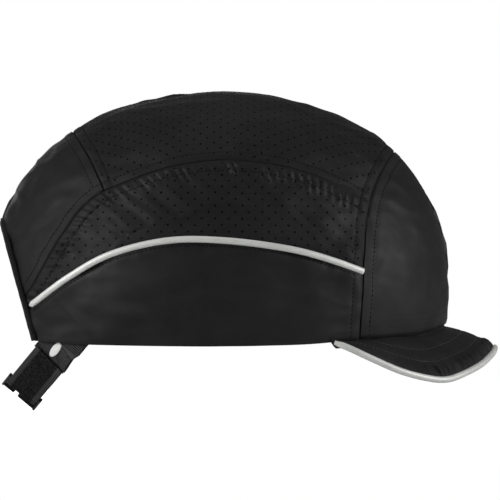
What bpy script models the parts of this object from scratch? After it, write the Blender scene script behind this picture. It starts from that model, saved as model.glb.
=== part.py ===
# Bump cap: a soft short-brimmed cap over a vented impact shell, closed at the
# back by an adjustable strap that runs through a slide buckle.
# Metres. +X is forward (brim), +Y the wearer's left, +Z up. The origin is the
# middle of the head opening, in the plane of the hem.

import math

import bmesh
import bpy
from mathutils import Matrix, Vector

MM = 0.001

# Crown, measured on the outside of the cloth
CROWN_FRONT = 118.0 * MM
CROWN_REAR = 125.0 * MM
CROWN_HALF_WIDTH = 89.0 * MM
CROWN_HEIGHT = 133.3 * MM
FRONT_WIDEST_LEVEL = 30.0 * MM
REAR_WIDEST_LEVEL = 20.0 * MM
SIDE_WIDEST_LEVEL = 22.0 * MM
FRONT_ROUNDNESS = 2.15
REAR_ROUNDNESS = 2.25
SIDE_ROUNDNESS = 2.2
HEM_TUCK = 0.012          # how far the crown draws in below its widest level, as a share
EGG = 0.04                # how much wider the crown is behind its middle
CROWN_SEGMENTS = 44       # every layer has the same facets, so that layers nest
CROWN_ROWS = 11
SKIRT = 8.0 * MM          # how far an uncut crown surface runs below the hem plane

# Layers, from the outside in: distance of each outer face under the crown surface
GAP = 0.3 * MM
CLOTH = 0.8 * MM
SEAM_TAPE_THICKNESS = 0.5 * MM
SHELL_THICKNESS = 2.2 * MM
SWEATBAND_THICKNESS = 2.2 * MM
FOAM_THICKNESS = 5.0 * MM
TAPE_INSET = CLOTH + GAP
SHELL_INSET = TAPE_INSET + SEAM_TAPE_THICKNESS + 0.4 * MM
SWEATBAND_INSET = SHELL_INSET + SHELL_THICKNESS + 0.6 * MM
FOAM_INSET = SHELL_INSET + SHELL_THICKNESS + 0.4 * MM

# Seams, as (forward, up) lines seen from the side, in millimetres
FRONT_SEAM = [(70.5, -8), (71.3, 16), (73.4, 50), (76.2, 74), (81.5, 90), (88.5, 101), (103, 118)]
REAR_SEAM = [(-97, 137), (-88, 124), (-78.3, 110), (-70.7, 97.7), (-63.6, 82.2), (-58, 66)]
SIDE_SEAM = [(-118, 12), (-100.8, 32), (-88.3, 54), (-71.7, 76), (-51.3, 86.5), (-27.8, 94),
             (0, 97.3), (27.7, 94.6), (51, 88.5), (73, 77.5), (92, 66)]
PIPING_LINE = [(-118, 10), (-101.6, 21.3), (-81.6, 36), (-59.4, 48), (-29.8, 55), (0, 55),
               (32.8, 50.8), (55.3, 45), (80, 36)]
HEM_LINE = [(-130, 4), (-98.5, 2.2), (-65.9, 0.3), (-13.2, -0.5), (39.5, 0.5), (70.6, 3.3),
            (92.2, 4.5), (105.4, 6.2), (113.3, 9), (118, 12.5), (130, 20)]
OPENING_TOP = (-118.0, 63.0)      # top of the rear opening, seen from the side
OPENING_FOOT = (-101.5, 3.5)
BINDING_WIDTH = 3.6 * MM
BINDING_PROUD = 0.6 * MM
BINDING_THICKNESS = 2.2 * MM
PIPING_WIDTH = 3.8 * MM
PIPING_PROUD = 1.0 * MM
PIPING_THICKNESS = 2.0 * MM
SEAM_TAPE_WIDTH = 11.0 * MM
SEAM_STEPS = 3                    # points between two of a seam's own points

# Impact shell and its foam
SHELL_RIM = 21.0 * MM
SHELL_BEHIND_OPENING = 11.0 * MM  # distance of the shell's rear edge from the opening
SIDE_VENT_LENGTH = 17.0 * MM
SIDE_VENT_HEIGHT = 6.0 * MM
SIDE_VENT_LEVEL = 66.0 * MM
SIDE_VENT_PITCH = 26.0 * MM
SIDE_VENT_COUNT = 5
TOP_VENT_LENGTH = 20.0 * MM
TOP_VENT_WIDTH = 6.0 * MM
TOP_VENT_OFFSET = 47.0 * MM
TOP_VENT_PITCH = 32.0 * MM
TOP_VENT_COUNT = 3
PAD_CORNER = 9.0 * MM
CROWN_PAD = (96.0 * MM, 72.0 * MM)
FRONT_PAD = (72.0 * MM, 50.0 * MM)
FRONT_PAD_LEVEL = 60.0 * MM
REAR_PAD = (64.0 * MM, 24.0 * MM)
REAR_PAD_LEVEL = 92.0 * MM
SIDE_PAD = (100.0 * MM, 20.0 * MM)
SIDE_PAD_LEVEL = 46.0 * MM
SWEATBAND_HEIGHT = 31.0 * MM
SWEATBAND_LIFT = 1.0 * MM         # how far the sweatband stays above the hem
SWEATBAND_BACK_GAP = 8.0 * MM     # from the rear opening to the sweatband's ends

# Brim: stations from the middle to one end, as the edge's (forward, side, up) in
# millimetres and how many degrees round the crown the same rib starts
BRIM_STATIONS = [(142.2, 0, -1.4, 0), (140.6, 13, -4.6, 9), (134.4, 30, -10.2, 18),
                 (124.6, 46.5, -15.2, 27), (116.4, 56.5, -17.8, 33.5), (107, 64, -17.2, 39.5),
                 (92.4, 72.4, -13.4, 46.5), (76.6, 77.6, -6.6, 54), (65, 79.4, -1.2, 59)]
BRIM_STATIONS_FRONT = 118.0 * MM      # the crown's sizes that the stations are given for
BRIM_STATIONS_HALF_WIDTH = 89.0 * MM
BRIM_BELOW_HEM = 2.9 * MM
BRIM_ROOT_OUT = 0.2 * MM
BRIM_BOARD = 1.6 * MM
BRIM_CLOTH = 0.7 * MM
BRIM_BULGE = 1.2 * MM
BRIM_PIPING_RADIUS = 1.65 * MM
BRIM_COLUMNS = 28
BRIM_ROWS = 3
BRIM_STEPS = 8
BRIM_EDGE_GAP = 1.5 * MM          # from the cloth edges to the piping

# Rear strap. It hangs from the hem in a band that curves round behind the head.
STRAP_FOOT = (-85.5 * MM, 0.8 * MM)   # where the band's middle leaves the hem
STRAP_PITCH = math.radians(50.0)      # its slope below the horizontal, backwards
STRAP_DROP = 30.4 * MM                # from the foot to the back of the band
STRAP_INSET = 2.2 * MM
ELASTIC_WIDTH = 21.0 * MM
WEBBING_WIDTH = 19.0 * MM
WEBBING = 1.2 * MM
HINGE_DROP = 13.0 * MM                # from the foot to the line that the strap bends about
ANCHOR_HEIGHT = 16.0 * MM
ELASTIC_LENGTH = 12.2 * MM            # along the band, from the hem to the elastic's end
ELASTIC_ROUND_END = 10.4 * MM         # radius of the elastic's top about its bend line
ELASTIC_OVERRUN = 6.0                 # degrees that it is made past the hem, then trimmed
TAIL_CORNER_LEVEL = 1.5 * MM          # the top corner of the tail
TWIST_LENGTH = 22.0 * MM              # along the band, where it turns flat
FOLD_LEAD = 1.0                       # degrees before a bar where a tape starts its fold
FOLD_STEPS = 8
TAIL_LANDING = 9.0                    # degrees that a folded tape takes to lie flat again
BUCKLE_LANDING = 6.6
BUCKLE_TAPE_END = 11.0                # degrees past the gate bar
LANDING_STEPS = 3
BUCKLE_BAR_ANGLES = (-13.0, -4.0, 4.5)
GATE_BAR_OUT = 5.7 * MM               # the gate bar stands this far outside the band
BAR_RADIUS = 1.1 * MM
GATE_RADIUS = 0.8 * MM
BUCKLE_ARM = 1.3 * MM
BUCKLE_ARM_DEPTH = 2.0 * MM
BUCKLE_GATE_GAP = 2.4 * MM
BUCKLE_GATE_OFFSET = -2.0 * MM
BUCKLE_GATE_CUTTER = 6.4 * MM
BUCKLE_TIP_RISE = 0.3 * MM            # of the arms' ends over the gate bar
BUCKLE_BAR_SEGMENTS = 12
BARTACK_SPACE = 1.4 * MM              # from the tail's end to the bartack
BARTACK_LENGTH = 7.0 * MM
BARTACK_WIDTH = 3.0 * MM
BARTACK_THICKNESS = 0.5 * MM

FAR = 0.3                             # beyond any part, for the ends of cutters
LEVEL_SPREAD = 0.92                   # how the crown's rows are spread over its height
HALF_START = 5.0 * MM                 # side pieces start this far from the middle
END_ROUNDING = 0.01 * MM              # keeps a slot's end arcs from meeting
PAD_SIDE_ROOM = 1.0 * MM
OPENING_RUNS = (0.6, 1.5)             # how far the opening's line goes on past its ends
NORMAL_STEP = 0.004                   # shares of the brim's length and width
ROUND_END_STEPS = 12


def clear_scene():
    for item in list(bpy.data.objects):
        bpy.data.objects.remove(item, do_unlink=True)


def make_collection(name):
    collection = bpy.data.collections.new(name)
    bpy.context.scene.collection.children.link(collection)
    return collection


def make_material(name, colour, roughness, metallic=0.0):
    material = bpy.data.materials.new(name)
    material.use_nodes = True
    shader = material.node_tree.nodes["Principled BSDF"]
    shader.inputs["Base Color"].default_value = (*colour, 1.0)
    shader.inputs["Roughness"].default_value = roughness
    shader.inputs["Metallic"].default_value = metallic
    return material


def add_object(name, mesh, collection, material=None):
    item = bpy.data.objects.new(name, mesh)
    collection.objects.link(item)
    if material:
        mesh.materials.append(material)
    return item


def mesh_from(bm, name):
    mesh = bpy.data.meshes.new(name)
    bm.to_mesh(mesh)
    bm.free()
    mesh.shade_smooth()
    mesh.set_sharp_from_angle(angle=math.radians(40))
    return mesh


def add_cutter(name, mesh):
    cutter = add_object(name, mesh, cutters)
    cutter.hide_render = True
    cutter.display_type = "WIRE"
    return cutter


def boolean(item, cutter, operation, solver="EXACT"):
    step = item.modifiers.new(operation.lower(), "BOOLEAN")
    step.operation = operation
    step.solver = solver
    step.object = cutter
    return item


def keep(item, *regions):
    """Trim a closed layer to its regions. EXACT loses whole panels here, so MANIFOLD."""
    for region in regions:
        boolean(item, region, "INTERSECT", "MANIFOLD")
    return item


def cut(item, *regions):
    for region in regions:
        boolean(item, region, "DIFFERENCE")
    return item


def thicken(item, thickness, offset):
    shell = item.modifiers.new("thickness", "SOLIDIFY")
    shell.thickness = thickness
    shell.offset = offset
    return item


def solid_from_curve(name, curve, placement):
    """Turn a curve into a closed mesh object placed in the world."""
    source = bpy.data.objects.new(name, curve)
    bpy.context.scene.collection.objects.link(source)
    bpy.context.view_layer.update()
    graph = bpy.context.evaluated_depsgraph_get()
    mesh = bpy.data.meshes.new_from_object(source.evaluated_get(graph))
    bpy.data.objects.remove(source, do_unlink=True)
    bm = bmesh.new()
    bm.from_mesh(mesh)
    bmesh.ops.remove_doubles(bm, verts=bm.verts, dist=1e-7)
    bmesh.ops.transform(bm, matrix=placement, verts=bm.verts)
    bmesh.ops.recalc_face_normals(bm, faces=bm.faces)
    bm.to_mesh(mesh)
    bm.free()
    mesh.name = name
    mesh.materials.clear()
    return mesh


def plate(name, outline, depth, placement):
    """A flat outline with thickness, as a mesh; depth is measured along its normal."""
    curve = bpy.data.curves.new(name, "CURVE")
    curve.dimensions = "2D"
    curve.fill_mode = "BOTH"
    curve.extrude = depth / 2
    spline = curve.splines.new("POLY")
    spline.points.add(len(outline) - 1)
    for point, (across, up) in zip(spline.points, outline):
        point.co = (across, up, 0.0, 1.0)
    spline.use_cyclic_u = True
    return solid_from_curve(name, curve, placement)


def tube(name, points, radius, resolution=2):
    curve = bpy.data.curves.new(name, "CURVE")
    curve.dimensions = "3D"
    curve.bevel_depth = radius
    curve.bevel_resolution = resolution
    curve.use_fill_caps = True
    spline = curve.splines.new("POLY")
    spline.points.add(len(points) - 1)
    for point, place in zip(spline.points, points):
        point.co = (*place, 1.0)
    return solid_from_curve(name, curve, Matrix.Identity(4))


def smooth_line(points, steps=SEAM_STEPS):
    """A Catmull-Rom line through hand-placed points of any dimension."""
    vectors = [Vector(point) for point in points]
    before = vectors[0] * 2 - vectors[1]
    after = vectors[-1] * 2 - vectors[-2]
    chain = [before, *vectors, after]
    line = []
    for index in range(1, len(chain) - 2):
        a, b, c, d = chain[index - 1:index + 3]
        for step in range(steps):
            t = step / steps
            line.append(0.5 * (2 * b + (c - a) * t + (2 * a - 5 * b + 4 * c - d) * t * t
                               + (3 * b - a - 3 * c + d) * t ** 3))
    line.append(vectors[-1])
    return line


def seam(points):
    return [point * MM for point in smooth_line(points)]


def shifted(line, distance):
    """The line moved to its left by a distance, seen from the side."""
    moved = []
    for index, point in enumerate(line):
        ahead = line[min(index + 1, len(line) - 1)]
        behind = line[max(index - 1, 0)]
        along = (ahead - behind).normalized()
        moved.append(point + Vector((-along.y, along.x)) * distance)
    return moved


SIDE_VIEW = Matrix.Rotation(math.radians(90), 4, "X")
FRONT_VIEW = Matrix.Rotation(math.radians(90), 4, "Z") @ SIDE_VIEW


def side_region(name, outline):
    """A cutter with this outline from the side, running right across the cap."""
    return add_cutter(name, plate(name, outline, 2 * FAR, SIDE_VIEW))


def above(name, line, distance=0.0):
    edge = shifted(line, distance)
    return side_region(name, [*edge, Vector((FAR, edge[-1].y)), Vector((FAR, FAR)),
                              Vector((-FAR, FAR)), Vector((-FAR, edge[0].y))])


def below(name, line, distance=0.0):
    edge = shifted(line, -distance)
    return side_region(name, [*edge, Vector((FAR, edge[-1].y)), Vector((FAR, -FAR)),
                              Vector((-FAR, -FAR)), Vector((-FAR, edge[0].y))])


def ahead_of(name, line, distance=0.0):
    edge = upward(line, distance)
    return side_region(name, [*edge, Vector((edge[-1].x, FAR)), Vector((FAR, FAR)),
                              Vector((FAR, -FAR)), Vector((edge[0].x, -FAR))])


def behind(name, line, distance=0.0):
    edge = upward(line, -distance)
    return side_region(name, [*edge, Vector((edge[-1].x, FAR)), Vector((-FAR, FAR)),
                              Vector((-FAR, -FAR)), Vector((edge[0].x, -FAR))])


def upward(line, forward):
    """A rising line moved forward by a distance."""
    rising = line if line[-1].y > line[0].y else line[::-1]
    return shifted(rising, -forward)


def strip(name, line, half_width):
    upper = shifted(line, half_width)
    lower = shifted(line, -half_width)
    return side_region(name, [*upper, *reversed(lower)])


def rounded_box_outline(length, width, corner, steps=4):
    outline = []
    for quarter in range(4):
        sign_x = 1 if quarter in (0, 3) else -1
        sign_y = 1 if quarter in (0, 1) else -1
        middle = Vector((sign_x * (length / 2 - corner), sign_y * (width / 2 - corner)))
        for step in range(steps + 1):
            turn = math.radians(90 * (quarter + step / steps))
            outline.append(middle + Vector((math.cos(turn), math.sin(turn))) * corner)
    return outline


def crown_share(level, top, widest, roundness):
    """How much of its full reach the crown has at a level."""
    if level < widest:
        return 1 - HEM_TUCK * ((widest - level) / widest) ** 2
    height = min((level - widest) / (top - widest), 1.0)
    return max(1 - height ** roundness, 0.0) ** (1 / roundness)


def crown_reaches(level, inset):
    top = CROWN_HEIGHT - inset
    front = (CROWN_FRONT - inset) * crown_share(level, top, FRONT_WIDEST_LEVEL, FRONT_ROUNDNESS)
    rear = (CROWN_REAR - inset) * crown_share(level, top, REAR_WIDEST_LEVEL, REAR_ROUNDNESS)
    side = (CROWN_HALF_WIDTH - inset) * crown_share(level, top, SIDE_WIDEST_LEVEL, SIDE_ROUNDNESS)
    return front, rear, side


def crown_side(forward, level, inset=0.0):
    """Half the crown's width at a place along it and a level."""
    front, rear, side = crown_reaches(level, inset)
    share = forward / (front if forward > 0 else rear)
    share = max(-1.0, min(1.0, share))
    return side * math.sqrt(1 - share * share) * (1 - EGG * share)


def crown_point(direction, inset):
    """Map a point of the upper unit sphere onto the crown."""
    top = CROWN_HEIGHT - inset
    lift = max(0.0, min(1.0, direction.z)) ** LEVEL_SPREAD
    level = -SKIRT + (top + SKIRT) * lift
    front, rear, side = crown_reaches(level, inset)
    flat = Vector((direction.x, direction.y))
    if flat.length < 1e-6:
        return Vector((0.0, 0.0, top))
    flat.normalize()
    reach = front if flat.x > 0 else rear
    return Vector((reach * flat.x, side * flat.y * (1 - EGG * flat.x), level))


def crown_skin(name, inset, thickness, material):
    """A layer of the crown, whole, with its outer face at the inset."""
    bm = bmesh.new()
    bmesh.ops.create_uvsphere(bm, u_segments=CROWN_SEGMENTS, v_segments=2 * CROWN_ROWS,
                              radius=1.0)
    lower = [vert for vert in bm.verts if vert.co.z < -1e-4]
    bmesh.ops.delete(bm, geom=lower, context="VERTS")
    for vert in bm.verts:
        vert.co = crown_point(vert.co, inset)
    item = add_object(name, mesh_from(bm, name), parts, material)
    return thicken(item, thickness, -1.0)


def surface_sheet(name, columns, rows, place, thickness, material):
    """A grid laid on place(along, across), both from 0 to 1, and thickened about it."""
    bm = bmesh.new()
    bmesh.ops.create_grid(bm, x_segments=columns, y_segments=rows, size=0.5)
    for vert in bm.verts:
        vert.co = place(vert.co.x + 0.5, vert.co.y + 0.5)
    item = add_object(name, mesh_from(bm, name), parts, material)
    return thicken(item, thickness, 0.0)


# ---------------------------------------------------------------- crown panels

def half_region(name, side):
    box = rounded_box_outline(4 * FAR, FAR, 0.01, 1)
    placement = Matrix.Translation((0, side * (FAR / 2 + HALF_START), 0))
    return add_cutter(name, plate(name, box, 2 * FAR, placement))


def build_regions():
    front = seam(FRONT_SEAM)
    rear = seam(REAR_SEAM)
    side = seam(SIDE_SEAM)
    piping = seam(PIPING_LINE)
    hem = seam(HEM_LINE)
    foot = Vector(OPENING_FOOT) * MM
    top = Vector(OPENING_TOP) * MM
    run = top - foot
    opening = [foot - run * OPENING_RUNS[0], top + run * OPENING_RUNS[1]]
    half_gap = GAP / 2
    half_tape = SEAM_TAPE_WIDTH / 2
    piping_edge = PIPING_WIDTH / 2 + GAP
    bound_edge = BINDING_WIDTH + GAP
    return {
        "ahead_of_front": ahead_of("ahead_of_front_seam", front, half_gap),
        "behind_front": behind("behind_front_seam", front, half_gap),
        "front_strip": strip("front_seam_strip", front, half_tape),
        "ahead_of_rear": ahead_of("ahead_of_rear_seam", rear, half_gap),
        "behind_rear": behind("behind_rear_seam", rear, half_gap),
        "rear_strip": strip("rear_seam_strip", rear, half_tape),
        "above_side": above("above_side_seam", side, half_gap),
        "below_side": below("below_side_seam", side, half_gap),
        "side_strip": strip("side_seam_strip", side, half_tape),
        "above_side_tape": above("above_side_seam_tape", side, half_tape + GAP),
        "behind_front_tape": behind("behind_front_seam_tape", front, half_tape + GAP),
        "above_piping": above("above_piping", piping, piping_edge),
        "below_piping": below("below_piping", piping, piping_edge),
        "piping_strip": strip("piping_strip", piping, PIPING_WIDTH / 2),
        "above_hem": above("above_hem", hem),
        "above_band_hem": above("above_sweatband_hem", hem, SWEATBAND_LIFT),
        "binding_strip": side_region("binding_strip", [
            *upward(opening, 0.0), *reversed(upward(opening, BINDING_WIDTH))]),
        "ahead_of_binding": ahead_of("ahead_of_binding", opening, bound_edge),
        "ahead_of_tape_end": ahead_of("ahead_of_tape_end", opening, bound_edge + GAP),
        "ahead_of_shell_back": ahead_of("ahead_of_shell_back", opening, SHELL_BEHIND_OPENING),
        "ahead_of_band_end": ahead_of("ahead_of_band_end", opening, SWEATBAND_BACK_GAP),
        "right": half_region("right_half", -1),
        "left": half_region("left_half", 1),
    }


def build_panels(region, cloth, mesh_cloth, silver, binding_cloth):
    keep(crown_skin("front_panel", 0.0, CLOTH, cloth),
         region["ahead_of_front"], region["above_hem"])
    keep(crown_skin("top_panel", 0.0, CLOTH, mesh_cloth),
         region["above_side"], region["behind_front"], region["ahead_of_rear"])
    keep(crown_skin("rear_panel", 0.0, CLOTH, cloth),
         region["above_side"], region["behind_rear"], region["ahead_of_binding"])
    keep(crown_skin("rear_opening_binding", -BINDING_PROUD, BINDING_THICKNESS, binding_cloth),
         region["binding_strip"], region["above_hem"])
    for side in ("right", "left"):
        keep(crown_skin("side_mesh_" + side, 0.0, CLOTH, mesh_cloth),
             region["below_side"], region["above_piping"],
             region["behind_front"], region["ahead_of_binding"], region[side])
        keep(crown_skin("side_lower_" + side, 0.0, CLOTH, cloth),
             region["below_piping"], region["above_hem"],
             region["behind_front"], region["ahead_of_binding"], region[side])
        keep(crown_skin("side_piping_" + side, -PIPING_PROUD, PIPING_THICKNESS, silver),
             region["piping_strip"], region["behind_front"],
             region["ahead_of_binding"], region[side])


def build_seam_tapes(region, tape):
    def tape_skin(name):
        return crown_skin(name, TAPE_INSET, SEAM_TAPE_THICKNESS, tape)

    keep(tape_skin("front_seam_tape"), region["front_strip"], region["above_band_hem"])
    keep(tape_skin("rear_seam_tape"), region["rear_strip"], region["above_side_tape"])
    for side in ("right", "left"):
        keep(tape_skin("side_seam_tape_" + side), region["side_strip"],
             region["behind_front_tape"], region["ahead_of_tape_end"], region[side])


# ---------------------------------------------------------------- inside the crown

def vent_cutters():
    vents = []
    for index in range(SIDE_VENT_COUNT):
        along = (index - (SIDE_VENT_COUNT - 1) / 2) * SIDE_VENT_PITCH
        outline = rounded_box_outline(SIDE_VENT_LENGTH, SIDE_VENT_HEIGHT,
                                      SIDE_VENT_HEIGHT / 2 - END_ROUNDING, 2)
        name = f"side_vent_{index + 1}"
        placement = Matrix.Translation((along, 0, SIDE_VENT_LEVEL)) @ SIDE_VIEW
        vents.append(add_cutter(name, plate(name, outline, 2 * FAR, placement)))
    for side in (-1, 1):
        for index in range(TOP_VENT_COUNT):
            along = (index - (TOP_VENT_COUNT - 1) / 2) * TOP_VENT_PITCH
            outline = rounded_box_outline(TOP_VENT_LENGTH, TOP_VENT_WIDTH,
                                          TOP_VENT_WIDTH / 2 - END_ROUNDING, 2)
            name = f"top_vent_{index + 1}_{'right' if side < 0 else 'left'}"
            placement = Matrix.Translation((along, side * TOP_VENT_OFFSET, CROWN_HEIGHT))
            vents.append(add_cutter(name, plate(name, outline, CROWN_HEIGHT, placement)))
    return vents


def build_shell(region, plastic):
    floor = [Vector((-FAR, SHELL_RIM)), Vector((FAR, SHELL_RIM))]
    shell = crown_skin("impact_shell", SHELL_INSET, SHELL_THICKNESS, plastic)
    keep(shell, above("above_shell_rim", floor), region["ahead_of_shell_back"])
    cut(shell, *vent_cutters())


def build_pad(name, size, placement, depth, foam):
    outline = rounded_box_outline(size[0], size[1], min(PAD_CORNER, size[1] / 2 - PAD_SIDE_ROOM))
    pad = crown_skin(name, FOAM_INSET, FOAM_THICKNESS, foam)
    keep(pad, add_cutter(name + "_outline", plate(name, outline, depth, placement)))


def build_pads(foam):
    build_pad("crown_pad", CROWN_PAD, Matrix.Translation((0, 0, CROWN_HEIGHT)),
              CROWN_HEIGHT, foam)
    build_pad("front_pad", FRONT_PAD,
              Matrix.Translation((CROWN_FRONT, 0, FRONT_PAD_LEVEL)) @ FRONT_VIEW,
              CROWN_FRONT, foam)
    build_pad("rear_pad", REAR_PAD,
              Matrix.Translation((-CROWN_REAR, 0, REAR_PAD_LEVEL)) @ FRONT_VIEW,
              CROWN_REAR, foam)
    for name, side in (("right", -1), ("left", 1)):
        placement = Matrix.Translation((0, side * CROWN_HALF_WIDTH, SIDE_PAD_LEVEL)) @ SIDE_VIEW
        build_pad("side_pad_" + name, SIDE_PAD, placement, CROWN_HALF_WIDTH, foam)


def build_sweatband(region, towelling):
    ceiling = [Vector((-FAR, SWEATBAND_HEIGHT)), Vector((FAR, SWEATBAND_HEIGHT))]
    band = crown_skin("sweatband", SWEATBAND_INSET, SWEATBAND_THICKNESS, towelling)
    keep(band, below("below_band_top", ceiling), region["above_band_hem"],
         region["ahead_of_band_end"])


# ---------------------------------------------------------------- brim

def hem_level(forward):
    line = seam(HEM_LINE)
    for start, end in zip(line, line[1:]):
        if start.x <= forward <= end.x:
            share = (forward - start.x) / (end.x - start.x)
            return start.y + (end.y - start.y) * share
    return line[-1].y


def brim_root(degrees):
    """The place on the crown, just below the hem, at an angle round it from the front."""
    turn = math.radians(degrees)
    front, _, side = crown_reaches(0.0, -BRIM_ROOT_OUT)
    forward = front * math.cos(turn)
    width = side * math.sin(turn) * (1 - EGG * math.cos(turn))
    return Vector((forward, width, hem_level(forward) - BRIM_BELOW_HEM))


def brim_rib(along):
    """Root and piping centre of the rib at a share from one brim end to the other."""
    mirrored = (BRIM_STATIONS[1][0], -BRIM_STATIONS[1][1], BRIM_STATIONS[1][2], -BRIM_STATIONS[1][3])
    half = smooth_line([mirrored, *BRIM_STATIONS], BRIM_STEPS)[BRIM_STEPS:]
    place = abs(along * 2 - 1) * (len(half) - 1)
    index = min(int(place), len(half) - 2)
    station = half[index].lerp(half[index + 1], place - index)
    side = 1 if along > 0.5 else -1
    edge = Vector((station[0] * CROWN_FRONT / BRIM_STATIONS_FRONT,
                   side * station[1] * CROWN_HALF_WIDTH / BRIM_STATIONS_HALF_WIDTH,
                   station[2])) * MM
    return brim_root(side * station[3]), edge


def brim_surface(along, across):
    """The middle of the brim board; across runs from its root to its edge."""
    root, edge = brim_rib(along)
    stop = edge - (edge - root).normalized() * (BRIM_PIPING_RADIUS + BRIM_EDGE_GAP)
    return root.lerp(stop, across) + Vector((0, 0, BRIM_BULGE * math.sin(math.pi * across)))


def brim_point(along, across, lift):
    """A point of a brim layer; lift is its height over the board's middle."""
    sideways = (brim_surface(min(along + NORMAL_STEP, 1.0), across)
                - brim_surface(max(along - NORMAL_STEP, 0.0), across))
    outwards = (brim_surface(along, across + NORMAL_STEP)
                - brim_surface(along, across - NORMAL_STEP))
    up = outwards.cross(sideways).normalized()
    return brim_surface(along, across) + up * lift


def build_brim(board, cloth, silver):
    cover_lift = BRIM_BOARD / 2 + GAP + BRIM_CLOTH / 2
    layers = [("brim_board", 0.0, BRIM_BOARD, board),
              ("brim_top_cover", cover_lift, BRIM_CLOTH, cloth),
              ("brim_under_cover", -cover_lift, BRIM_CLOTH, cloth)]
    for name, lift, thickness, material in layers:
        surface_sheet(name, BRIM_COLUMNS, BRIM_ROWS,
                      lambda along, across, lift=lift: brim_point(along, across, lift),
                      thickness, material)
    edge = [brim_rib(step / BRIM_COLUMNS)[1] for step in range(BRIM_COLUMNS + 1)]
    add_object("brim_piping", tube("brim_piping", edge, BRIM_PIPING_RADIUS), parts, silver)


# ---------------------------------------------------------------- rear strap

STRAP_DOWN = Vector((-math.cos(STRAP_PITCH), 0.0, -math.sin(STRAP_PITCH)))
STRAP_WIDTHWAYS = Vector((math.sin(STRAP_PITCH), 0.0, -math.cos(STRAP_PITCH)))
SIDEWAYS = Vector((0.0, 1.0, 0.0))


def strap_frame():
    """Centre, radius and end angle of the arc that the band's middle follows."""
    half_chord = crown_side(STRAP_FOOT[0], STRAP_FOOT[1], STRAP_INSET)
    radius = (half_chord ** 2 + STRAP_DROP ** 2) / (2 * STRAP_DROP)
    foot = Vector((STRAP_FOOT[0], 0.0, STRAP_FOOT[1]))
    centre = foot - STRAP_DOWN * (radius - STRAP_DROP)
    return centre, radius, math.degrees(math.asin(half_chord / radius))


def band_point(degrees, out):
    """A point of the band's middle line; out is its distance outside it."""
    centre, radius, _ = strap_frame()
    turn = math.radians(degrees)
    return centre + (STRAP_DOWN * math.cos(turn) + SIDEWAYS * math.sin(turn)) * (radius + out)


def degrees_from_hem(length):
    """Degrees round the band at a length along it from the hem."""
    _, radius, end = strap_frame()
    return end - math.degrees(length / radius)


def tail_end_degrees():
    """The tail stops where its top corner is at its level, whatever its width."""
    _, radius, end = strap_frame()
    drop = (STRAP_FOOT[1] - STRAP_WIDTHWAYS.z * WEBBING_WIDTH / 2
            - TAIL_CORNER_LEVEL) / -STRAP_DOWN.z
    return math.degrees(math.acos(math.cos(math.radians(end)) + drop / radius))


def width_direction(degrees):
    """The band lies against the crown at the hem and turns flat towards the back."""
    _, _, end = strap_frame()
    twist_end = degrees_from_hem(TWIST_LENGTH)
    side = 1 if degrees > 0 else -1
    share = max(0.0, min(1.0, (abs(degrees) - twist_end) / (end - twist_end)))
    share = share * share * (3 - 2 * share)
    forward, level = STRAP_FOOT
    step = 1 * MM
    slope = crown_side(forward + step, level) - crown_side(forward - step, level)
    out_of_crown = Vector((-slope, side * 2 * step, 0.0)).normalized()
    turn = math.radians(end) * side
    along = STRAP_DOWN * -math.sin(turn) + SIDEWAYS * math.cos(turn)
    at_hem = out_of_crown.cross(along).normalized()
    if at_hem.dot(STRAP_WIDTHWAYS) < 0:
        at_hem.negate()
    return STRAP_WIDTHWAYS.lerp(at_hem, share).normalized()


def band_sheet(name, path, width, thickness, material, rows=2):
    """A strip of webbing along a path of (degrees, distance outside the band)."""
    def place(along, across):
        spot = along * (len(path) - 1)
        index = min(int(spot + 1e-6), len(path) - 2)
        share = spot - index
        degrees = path[index][0] * (1 - share) + path[index + 1][0] * share
        out = path[index][1] * (1 - share) + path[index + 1][1] * share
        return band_point(degrees, out) + width_direction(degrees) * ((across - 0.5) * width)

    return surface_sheet(name, len(path) - 1, rows, place, thickness, material)


def arc_path(start, end, out=0.0, step=4.0):
    count = max(2, round(abs(end - start) / step))
    return [(start + (end - start) * index / count, out) for index in range(count + 1)]


def fold_path(bar_degrees, direction):
    """Half a turn round a bar, from under it to over it; direction is the side it goes round."""
    _, radius, _ = strap_frame()
    reach = BAR_RADIUS + GAP + WEBBING / 2
    path = []
    for index in range(FOLD_STEPS + 1):
        turn = math.radians(180 * index / FOLD_STEPS)
        out = reach - reach * math.cos(turn)
        shift = math.degrees(reach * math.sin(turn) / (radius + out))
        path.append((bar_degrees + direction * shift, out))
    return path


def landing_path(start_degrees, span, top, level):
    """A tape coming down from the top of its fold to the level where it lies flat."""
    path = []
    for index in range(LANDING_STEPS):
        share = index / LANDING_STEPS
        fall = share * share * (3 - 2 * share)
        path.append((start_degrees + span * share, top + (level - top) * fall))
    return path


def round_end_region(name, side):
    """Keeps the part of a band below the line that the strap bends about, with a round end."""
    pivot = Vector((STRAP_FOOT[0], STRAP_FOOT[1])) + Vector((STRAP_DOWN.x, STRAP_DOWN.z)) * HINGE_DROP
    down = Vector((STRAP_DOWN.x, STRAP_DOWN.z))
    across = Vector((STRAP_WIDTHWAYS.x, STRAP_WIDTHWAYS.z))
    radius = ELASTIC_ROUND_END
    outline = [pivot + down * FAR - across * FAR, pivot - across * FAR, pivot - across * radius]
    for step in range(1, ROUND_END_STEPS):
        turn = math.radians(180 * step / ROUND_END_STEPS)
        outline.append(pivot - across * radius * math.cos(turn) - down * radius * math.sin(turn))
    outline += [pivot + across * radius, pivot + across * FAR, pivot + down * FAR + across * FAR]
    mesh = plate(name, outline, FAR, Matrix.Translation((0, side * FAR / 2, 0)) @ SIDE_VIEW)
    return add_cutter(name, mesh)


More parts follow.
